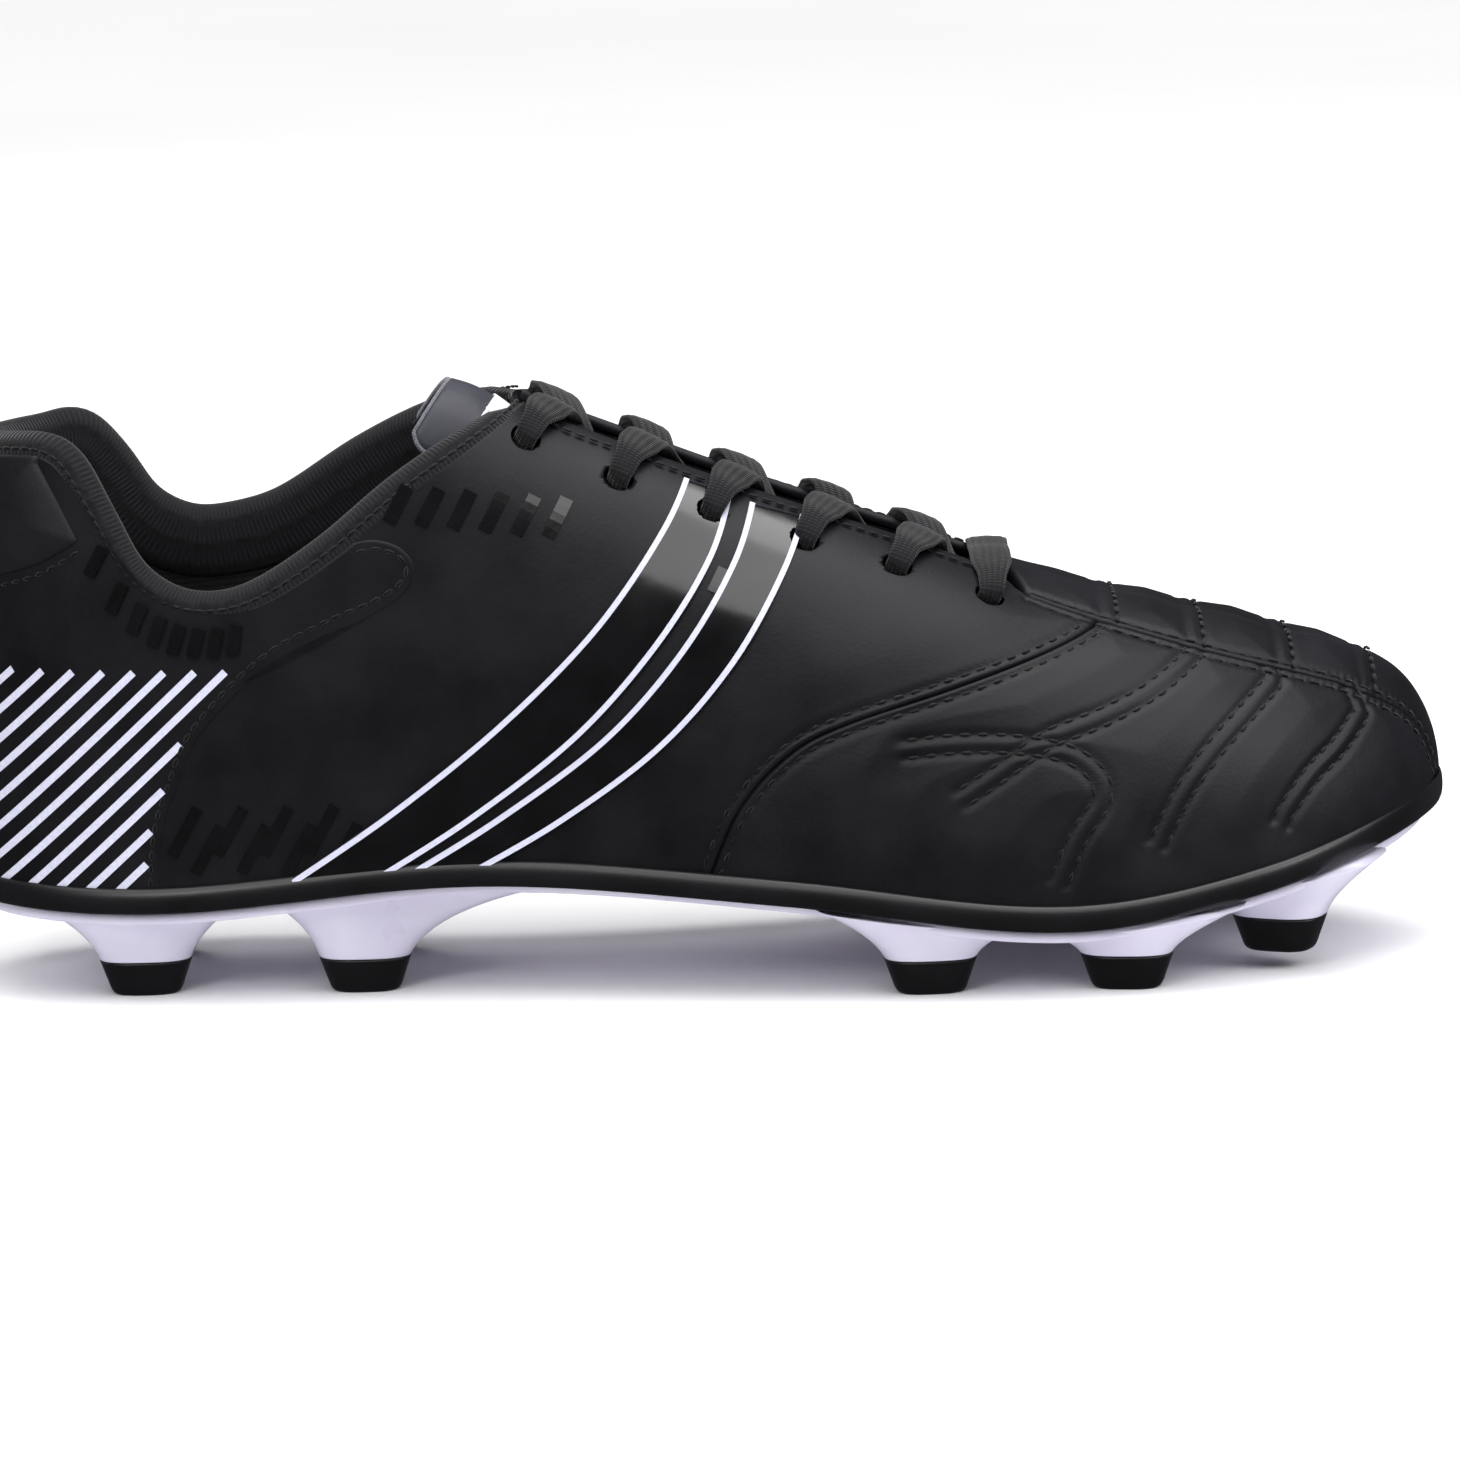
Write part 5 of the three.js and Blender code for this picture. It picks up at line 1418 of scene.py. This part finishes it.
def punch(side, piece):
    """Cuts the side's eyelets out of a piece with one cylinder for each hole."""
    mesh = bpy.data.meshes.new("punches")
    tool = bmesh.new()
    radius = EYELET_HOLE / 2000
    for point, normal in zip(*eyelets[side][:2]):
        turn = Vector(normal.tolist()).to_track_quat("Z", "Y").to_matrix().to_4x4()
        matrix = Matrix.Translation(Vector(((point - CENTRE) / 1000).tolist())) @ turn
        bmesh.ops.create_cone(tool, cap_ends=True, segments=32, radius1=radius, radius2=radius,
                              depth=PUNCH_DEPTH / 1000, matrix=matrix)
    tool.to_mesh(mesh)
    tool.free()
    cutter = bpy.data.objects.new("punches", mesh)
    bpy.context.scene.collection.objects.link(cutter)
    cut = piece.modifiers.new("punch", "BOOLEAN")
    cut.object = cutter
    cut.solver = "EXACT"
    with bpy.context.temp_override(object=piece, active_object=piece):
        bpy.ops.object.modifier_apply(modifier="punch")
    bpy.data.objects.remove(cutter)
    print(piece.name, len(piece.data.polygons), "faces after punching")


for side, piece in [*quarters.items(), *films]:
    punch(side, piece)

# %% [markdown]
# ## Tongue
# The tongue is a soft pad in three layers, faced with satin leather and backed with knit. It
# lies under the throat and its free end stands up out of the mouth, with a raw cut edge. All of
# it rides on the tongue body, so it swings as one about its sewn front end. A single surface
# gives the three layers, the edge and the label, and so they can't drift apart.

# %% Tongue
TONGUE_HALF, TONGUE_START, TONGUE_END = 15.0, 0.341, 0.705
TONGUE_DEPTH, TONGUE_CREST, TONGUE_WRAP = 6.9, 113.4, 13.0
ARCH_START, ARCH_SLOPE, ARCH_SWEEP, ARCH_FALL = 0.352, 0.3, 8.5, 11.5
EDGE_POINTS = 260


def tongue_surface(share, v):
    """Points of the tongue's face for a share of the length and a place v across, -1 to 1. Under
    the throat it is the form lowered by its depth; its free end is an arch, a cosine down and a
    sine across, whose sides reach further back. A smoothstep blends the two."""
    x = along(share)
    points, normals, _ = over_plan(x.ravel(), (middle(share) + v * TONGUE_HALF).ravel())
    under = (points - normals * TONGUE_DEPTH).reshape(*x.shape, 3)
    turn = v * np.pi / 2
    crest = TONGUE_CREST - ARCH_SLOPE * (x - along(ARCH_START))
    arch = np.stack([x - ARCH_SWEEP * np.abs(v) ** 1.5, middle(share) + TONGUE_WRAP * np.sin(turn),
                     crest - ARCH_FALL * (1 - np.cos(turn))], -1)
    w = smoothstep(share, 0.35, 0.43)[..., None]
    surface = arch * (1 - w) + under * w
    normal = np.cross(np.gradient(surface, axis=0), np.gradient(surface, axis=1))
    return surface, unit(normal * np.sign(normal[..., 2:].mean()))


def tongue_grid(count_u=150, count_v=50, trim=0.0):
    """Shares and places across over a rectangle whose back corners are rounded."""
    u = np.linspace(0, 1, count_u)[:, None]
    v = np.linspace(-1, 1, count_v)[None]
    inset = trim / LENGTH
    share = TONGUE_START + inset + (TONGUE_END - TONGUE_START - 2 * inset) * u
    corner = np.clip(u * (TONGUE_END - TONGUE_START) * LENGTH / 5, 0, 1)
    width = (1 - trim / TONGUE_HALF) * np.sqrt(1 - (1 - corner) ** 2 * 0.3)
    return share + 0 * v, v * width


def tongue_layer(name, top, thickness, trim, material, slot, node, round_edge=0.5):
    """A closed shell between two depths below the tongue's face."""
    points, normals = tongue_surface(*tongue_grid(trim=trim))
    rows, columns, uv = edge_distance(points)
    fall = np.clip(np.minimum(rows, columns) / round_edge, 0, 1)
    drop = round_edge * (1 - np.sqrt(1 - (1 - fall) ** 2))
    upper = points - normals * (top + drop)[..., None]
    lower = points - normals * (top + thickness)
    piece = closed_pair(name, upper, lower, uv)
    return finish(piece, material, "tongue", slot, node)


tongue_layer("tongue_face", 0.0, 1.0, 0.0, TONGUE_LEATHER, "tongue_synthetic", "tongue_cover")
tongue_foam = tongue_layer("tongue_foam", 1.3, 2.4, 1.5, FOAM, "foam", "tongue_padding", 1.2)
tongue_layer("tongue_backing", 4.0, 1.0, 0.0, MESH, "mesh_textile", "tongue_lining")



def tongue_border(grid, reach=60):
    """The stretch of a tongue grid's border that runs round its free end."""
    return even(np.concatenate([grid[:reach, 0][::-1], grid[0, 1:-1], grid[:reach, -1]]), EDGE_POINTS)


points, normals = tongue_surface(*tongue_grid())
raw_edge = sweep("tongue_raw_edge", tongue_border(points - normals * 0.5), unit(tongue_border(normals)),
                 oval(1.1, 0.7, 12))
finish(raw_edge, RAW_EDGE, "tongue", "tongue_synthetic")

LABEL_START, LABEL_END, LABEL_HALF = 0.372, 0.402, 0.55
label_place = np.meshgrid(np.linspace(LABEL_START, LABEL_END, 24), np.linspace(-LABEL_HALF, LABEL_HALF, 40),
                          indexing="ij")
points, normals = tongue_surface(*label_place)
label = closed_pair("tongue_label_ribbon", points + normals * 0.45, points + normals * 0.05,
                    edge_distance(points)[2])
finish(label, RIBBON, "tongue", "white_ribbon", "tongue_label")

# %% [markdown]
# ## Sole
# The plate, its stud roots and the black rim are moulded. The rim is a profile carried round
# the sole's outline, and the plate is a slab between the two sides of the same outline. The
# insole board and the foam sockliner inside are slabs of that kind too.

# %% Sole rim, board and sockliner


OUTLINE_S = (1 - np.cos(np.linspace(0, np.pi, 150))) / 2
RIM_UP = np.array([0, 0, 1.0])


def inward(distance):
    """The same distance inward all along the sole."""
    return lambda share: distance + 0 * share


def outline(inset):
    """The sole's outline moved inward by inset, a function of the share of the length, as two
    matching sides from heel to toe, with z on the sole line."""
    s = OUTLINE_S
    sides = []
    for side in (OUTER, INNER):
        share, points = feather(side, s)
        points = points - outward_at(side, s) * np.reshape(inset(share), (-1, 1))
        points[:, 2] = sole_line(share_of(np.clip(points[:, 0], along(0), along(1))))
        sides.append(points)
    middle_y = (sides[0][[0, -1], 1] + sides[1][[0, -1], 1]) / 2
    for points in sides:
        points[[0, -1], 1] = middle_y
    return sides


def slab(name, inset, low, high, count_v=36, round_edge=0.8, dish=0.0):
    """A closed slab across the outline: each row runs from one side to the other, and its upper
    and lower faces meet in rounded edges."""
    outer, inner = outline(inset)
    v = (1 - np.cos(np.linspace(0, np.pi, count_v)))[None, :, None] / 2
    base = outer[:, None] * (1 - v) + inner[:, None] * v
    rows, columns, uv = edge_distance(base)
    near = np.minimum(rows, columns)
    fall = round_edge * (1 - np.sqrt(1 - (1 - np.clip(near / round_edge, 0, 1)) ** 2))
    lift = dish * (1 - np.clip(near / 14, 0, 1)) ** 2
    upper = base + RIM_UP * (high - fall + lift)[..., None]
    lower = base + RIM_UP * (low + fall)[..., None]
    return closed_pair(name, upper, lower, uv)


BOARD_LOW = RIM_FLOOR + GAP
board = slab("insole_board_sheet", inward(6.5), BOARD_LOW, BOARD_LOW + BOARD, round_edge=0.3)
finish(board, FIBREBOARD, "shoe", "stiffener", "insole_board")
sock = slab("sockliner_pad", inward(6.5), SOCK_TOP - SOCKLINER, SOCK_TOP, round_edge=1.2, dish=0.8)
finish(sock, SOCK, "shoe", "foam", "sockliner")

RIM_SECTION = spline([(-14, 0.05), (-6, 0.0), (0.2, 0.0), (1.5, 0.35), (2.1, 1.3), (2.25, 2.7),
                      (2.0, 4.1), (1.4, 5.0), (0.8, 5.2), (0.42, 4.9), (0.3, 3.4), (0.25, 1.9),
                      (-1.5, 1.45), (-6, 1.45), (-14, 1.45)], 60)


def rim_ring():
    """The rim's section, as distance out and rise, carried once round the outline. It gets
    slimmer at the toe by a smoothstep."""
    sides = outline(inward(0.0))
    out = [outward_at(side, OUTLINE_S) for side in (OUTER, INNER)]
    path = np.concatenate([sides[0], sides[1][-2:0:-1]])
    outward = np.concatenate([out[0], out[1][-2:0:-1]])
    slim = 1 - 0.6 * smoothstep(share_of(path[:, 0]), 0.86, 0.99)
    points = path[:, None] + outward[:, None] * (RIM_SECTION[None, :, :1] * slim[:, None, None])
    level = sole_line(share_of(np.clip(points[..., 0], along(0), along(1))))
    points[..., 2] = level + RIM_SECTION[None, :, 1]
    count, ring = points.shape[:2]
    faces = grid_faces(count, ring, wrap_rows=True, wrap_columns=True)
    length = np.concatenate([[0], np.cumsum(np.linalg.norm(np.diff(path, axis=0), axis=1))])
    uv = np.stack(np.broadcast_arrays(length[:, None], np.linspace(0, 40, ring)[None]), -1)
    return points, faces, uv


rim = make_piece("sole_rim_wall", *rim_ring())
face_outwards(rim)
finish(rim, BLACK_TPU, "shoe", "black_tpu", "sole_rim")
rim_floor = slab("sole_rim_floor", inward(3.0), 0.1, RIM_FLOOR, round_edge=0.3)
finish(rim_floor, BLACK_TPU, "shoe", "black_tpu")

# %% [markdown]
# ## Plate and studs
# Ten studs stand under the plate, five on each side. Each is a white root that flares into the
# plate, and a black tip moulded onto it. Both are rings stacked from the tip up, because one
# formula for the rings' size then gives the draft, the flare and the small foot radius.

# %% Plate and stud roots
plate_inset = curve_through([(0, 1.4), (0.25, 1.6), (0.36, 5.5), (0.55, 6.0), (0.64, 1.8), (0.93, 1.6),
                             (1, 3.0)])
STUDS = [("heel_rear", 0.128, 0.53, 0, 0, 1.0, 1.0), ("heel_front", 0.275, 0.56, 0, 0, 1.0, 2.3),
         ("ball_rear", 0.65, 0.74, 4, 0, 1.15, 1.0), ("ball_front", 0.78, 0.74, -8, 0, 1.0, 1.2),
         ("toe", 0.885, 0.5, -24, 3.5, 1.0, 1.1)]
TIP_LONG, TIP_WIDE, TIP_TALL, DRAFT = 13.0, 10.0, 6.5, 1.35
TIP_RINGS, STUD_POINTS, FOOT_RADIUS = 22, 44, 1.2
ROOT_LONG_FLARE, ROOT_WIDE_FLARE, ROOT_TOP = 1.15, 0.45, 1.0


def stud_place(side, share, out):
    """A stud's centre on the floor: out is a share of the half width there."""
    return np.array([along(share), middle(share) + side * out * half_width(share) * HALF_BALL, 0.0])


def tip_mesh(name, side, stud):
    """The black tip: it widens from the ground by the draft and its foot has a small radius."""
    lift = stud[4]
    v = np.linspace(0, 1, TIP_RINGS)
    foot = np.clip(v * TIP_TALL / FOOT_RADIUS, 0, 1)
    tuck = 1 - 0.09 * (1 - np.sqrt(1 - (1 - foot) ** 2))
    long = TIP_LONG * (1 + (DRAFT - 1) * v) * tuck
    wide = TIP_WIDE * (1 + (DRAFT - 1) * v) * tuck
    return stalk(name, side, stud, long, wide, (lift + TIP_TALL * v)[:, None])


def root_mesh(name, side, stud):
    """The white root: its rings grow with the height, straight at first and then faster as its
    power 2.2, so it flares into the plate."""
    lift, rear, front = stud[4:]
    v = np.linspace(0, 1, 26)
    flare = 0.4 * v + 0.6 * v ** 2.2
    long = TIP_LONG * DRAFT * (1 + ROOT_LONG_FLARE * flare)
    wide = TIP_WIDE * DRAFT * (1 + ROOT_WIDE_FLARE * flare)
    points = stalk_points(side, stud, long, wide, rear, front, flare)
    top = sole_line(share_of(np.clip(points[..., 0], along(0), along(1)))) - ROOT_TOP
    split = lift + TIP_TALL + GAP
    heights = split + (top - split) * v[:, None]
    return stalk(name, side, stud, long, wide, heights, rear, front, flare)


def stalk_points(side, stud, long, wide, rear=1.0, front=1.0, flare=0.0):
    """Rings of a superellipse, stretched forward and back by the two flares, then turned."""
    rows = len(long)
    ring = oval(long, wide, STUD_POINTS, 2.8)
    ahead = ring[..., 0] > 0
    reach = 1 + (np.where(ahead, front, rear) - 1) * (np.zeros(rows) + flare)[:, None]
    x, y = ring[..., 0] * reach, ring[..., 1]
    angle = math.radians(-side * stud[3])
    base = stud_place(side, stud[1], stud[2])
    return np.stack([base[0] + x * math.cos(angle) - y * math.sin(angle),
                     base[1] + x * math.sin(angle) + y * math.cos(angle), 0 * x], -1)


def stalk(name, side, stud, long, wide, heights, rear=1.0, front=1.0, flare=0.0):
    """A closed stalk of such rings, each at its own height or heights."""
    points = stalk_points(side, stud, long, wide, rear, front, flare)
    points[..., 2] = heights
    rows, ring = points.shape[:2]
    faces = list(grid_faces(rows, ring, wrap_columns=True))
    faces += [np.arange(ring)[::-1], np.arange(ring) + (rows - 1) * ring]
    piece = make_piece(name, points, faces)
    face_outwards(piece)
    return piece


plate = slab("sole_plate_slab", plate_inset, -2.5, -0.3, round_edge=0.9)
finish(plate, WHITE_TPU, "shoe", "white_tpu", "sole_plate")
for side in (OUTER, INNER):
    for stud in STUDS:
        tag = f"{WORDS[side]}_{stud[0]}"
        finish(root_mesh(f"stud_root_{tag}", side, stud), WHITE_TPU, "shoe", "white_tpu")
        finish(tip_mesh(f"stud_cap_{tag}", side, stud), BLACK_TPU, "shoe", "black_tpu", f"stud_tip_{tag}")
print("studs", 2 * len(STUDS))

# %% [markdown]
# ## Thread
# Stitches are separate short lengths of thread, each sinking at both ends. They could be drawn
# by a material, but thread stands proud and throws small shadows, so every one is the same small
# bead of a few faces, laid along its row at the stitch pitch.

# %% Stitches
PITCH, STITCH_LONG, STITCH_WIDE, STITCH_TALL = 3.3, 2.1, 0.75, 0.55


def bead():
    """A lens-shaped bead of six rings of eight points: half thickness is the root of
    1 - 0.97 u^2, where u runs from -1 to 1 along it."""
    u = np.linspace(-1, 1, 6)[:, None]
    angle = np.linspace(0, 2 * np.pi, 8, endpoint=False)[None]
    girth = np.sqrt(np.clip(1 - 0.97 * u ** 2, 0, 1))
    points = np.stack(np.broadcast_arrays(u * STITCH_LONG / 2, girth * np.cos(angle) * STITCH_WIDE / 2,
                                          girth * np.sin(angle) * STITCH_TALL / 2), -1)
    faces = list(grid_faces(6, 8, wrap_columns=True))
    return points.reshape(-1, 3), faces + [np.arange(8)[::-1], np.arange(8) + 40]


BEAD_POINTS, BEAD_FACES = bead()


def stitch_row(points, normals, pitch=PITCH):
    """Centres, travel and normal directions of the stitches along one row."""
    both = np.concatenate([points, normals], 1)
    length = np.linalg.norm(np.diff(points, axis=0), axis=1).sum()
    count = max(int(length / pitch), 2)
    spaced = even(both, 2 * count + 1)
    return spaced[1::2, :3], unit(spaced[2::2, :3] - spaced[:-2:2, :3]), unit(spaced[1::2, 3:])


def sew(name, rows):
    """One mesh of all the stitches in the rows."""
    centre, travel, normal = (np.concatenate(part) for part in zip(*rows))
    side_way = unit(np.cross(normal, travel))
    axes = np.stack([travel, side_way, np.cross(travel, side_way)], 1)
    points = centre[:, None] + np.einsum("pk,nkd->npd", BEAD_POINTS, axes)
    faces = [face + len(BEAD_POINTS) * index for index in range(len(centre)) for face in BEAD_FACES]
    piece = make_piece(name, points, faces)
    face_outwards(piece)
    print(name, len(centre), "stitches")
    return finish(piece, THREAD, "shoe", "webbing")


THREAD_LIFT = 0.05
FOXING_ROW, THROAT_ROW, TAB_DROP = 2.0, 4.5, 1.6
EDGE_PITCH, BINDING_PITCH = 2.6, 2.2
TOE_UP = unit(np.array([0.25, 0, 1.0]))


def lifted_row(side, st, shift):
    """A row on the quilted skin, moved sideways from its seam."""
    points, normal = beside(side, st, shift)
    return stitch_row(points + normal * (sewn_relief(points) + THREAD_LIFT)[:, None], normal)


def crossing_row(share, shift):
    """A row across the top of the toe, moved forward or back."""
    points = cross_row(share) + [shift, 0, 0]
    points = points + TOE_UP * (sewn_relief(points) + THREAD_LIFT)[:, None]
    return stitch_row(points, np.broadcast_to(TOE_UP, points.shape))


def quilting_rows():
    """Every double row of the padded vamp."""
    shifts = (ROW_GAP, -ROW_GAP)
    rows = [lifted_row(side, line, shift) for side in (OUTER, INNER) for line in quilted_lines(side)
            for shift in shifts]
    return rows + [crossing_row(share, shift) for share in CROSS_ROWS for shift in shifts]


def foxing_row(side):
    """The row that holds the foxing's front edge, on the heel's side of the seam."""
    choices = [beside(side, seams[side]["foxing"], shift) for shift in (FOXING_ROW, -FOXING_ROW)]
    points, normal = min(choices, key=lambda choice: choice[0][:, 0].mean())
    return stitch_row(points + normal * FOXING_RISE, normal, EDGE_PITCH)


def throat_row(side):
    """The row beside the throat, on the side away from the tongue."""
    choices = [beside(side, seams[side]["throat"], shift) for shift in (THROAT_ROW, -THROAT_ROW)]
    points, normal = max(choices, key=lambda choice: np.abs(choice[0][:, 1]).mean())
    return stitch_row(points + normal * 0.8, normal, EDGE_PITCH)


def tab_row(side):
    """The row just under the heel tab."""
    points, normal = beside(side, seams[side]["tab_low"], 0.0)
    return stitch_row(points + normal * 0.9 - [0, 0, TAB_DROP], normal, EDGE_PITCH)


sew("quilting_thread", quilting_rows())
sew("edge_thread", [row(side) for side in (OUTER, INNER) for row in (foxing_row, throat_row, tab_row)])
rise = np.cross(unit(np.gradient(rim_path, axis=0)), rim_normal)
rise = rise * np.sign(rise[:, 2:] + 1e-9)
sew("binding_thread", [stitch_row(rim_path + rise * 0.9 + rim_normal * 0.62, rim_normal, BINDING_PITCH)])

# %% [markdown]
# ## Camera, floor and light
# The camera stands low on the outer side with a long lens, which keeps the side view flat. The
# studio is a plain pale floor under a broad diffuser, with four soft lamps that draw highlights
# along the black forms. The room itself is dim, so that black stays black.

# %% Camera and studio
CAMERA_RISE = math.radians(10.0)
CAMERA_ROLL = math.radians(-1.5)
CAMERA_DISTANCE = 1.4
FOCAL_LENGTH = 179.852
TARGET = (Vector((6.25, 0.0, 44.4)) - Vector(CENTRE.tolist())) / 1000
camera_data = bpy.data.cameras.new("studio_camera")
camera_data.sensor_width = 36.0
camera_data.lens = FOCAL_LENGTH
camera = bpy.data.objects.new("studio_camera", camera_data)
bpy.context.scene.collection.objects.link(camera)
camera.location = TARGET + CAMERA_DISTANCE * Vector((0, -math.cos(CAMERA_RISE), math.sin(CAMERA_RISE)))
look = (TARGET - camera.location).to_track_quat("-Z", "Y")
camera.rotation_euler = (look @ Euler((0, 0, CAMERA_ROLL)).to_quaternion()).to_euler()
bpy.context.scene.camera = camera


def soft_lamp(name, place, size, power):
    """A square lamp at a place in metres, aimed at the shoe."""
    lamp = bpy.data.lights.new(name, "AREA")
    lamp.size = size
    lamp.energy = power
    item = bpy.data.objects.new(name, lamp)
    item.location = place
    item.rotation_euler = (Vector((0, 0, 0.05)) - Vector(place)).to_track_quat("-Z", "Y").to_euler()
    bpy.context.scene.collection.objects.link(item)


soft_lamp("top_softbox", (0.15, 0.1, 1.2), 0.9, 5)
soft_lamp("front_strip", (-0.55, -1.1, 0.75), 0.35, 4)
soft_lamp("toe_strip", (0.95, -0.5, 0.7), 0.4, 4)
soft_lamp("rear_softbox", (-0.6, 0.9, 0.8), 0.6, 4)
sky = bpy.data.lights.new("overhead_diffuser", "SUN")
sky.energy = 3.1
sky.angle = math.radians(75)
sky_item = bpy.data.objects.new("overhead_diffuser", sky)
sky_item.rotation_euler = (math.radians(16), math.radians(6), 0)
bpy.context.scene.collection.objects.link(sky_item)
world = bpy.data.worlds.new("grey_room")
world.use_nodes = True
world.node_tree.nodes["Background"].inputs["Color"].default_value = linear("#b8b8be")
world.node_tree.nodes["Background"].inputs["Strength"].default_value = 0.16
bpy.context.scene.world = world
bpy.context.scene.view_settings.view_transform = "Standard"

floor_mesh = bpy.data.meshes.new("studio_floor")
floor_mesh.from_pydata([(-6, -6, 0), (6, -6, 0), (6, 6, 0), (-6, 6, 0)], [], [(0, 1, 2, 3)])
floor = bpy.data.objects.new("studio_floor", floor_mesh)
bpy.context.scene.collection.objects.link(floor)
floor_material, floor_tree, floor_shader = new_material("painted_studio_floor")
floor_noise = surface_noise(floor_tree, 400)
floor_tree.links.new(colour_from(floor_tree, floor_noise.outputs["Fac"], (0.3, "#f7f7f7"), (0.7, "#fbfbfb")),
                     floor_shader.inputs["Base Color"])
floor_shader.inputs["Roughness"].default_value = 0.9
floor_mesh.materials.append(floor_material)
floor.visible_glossy = False
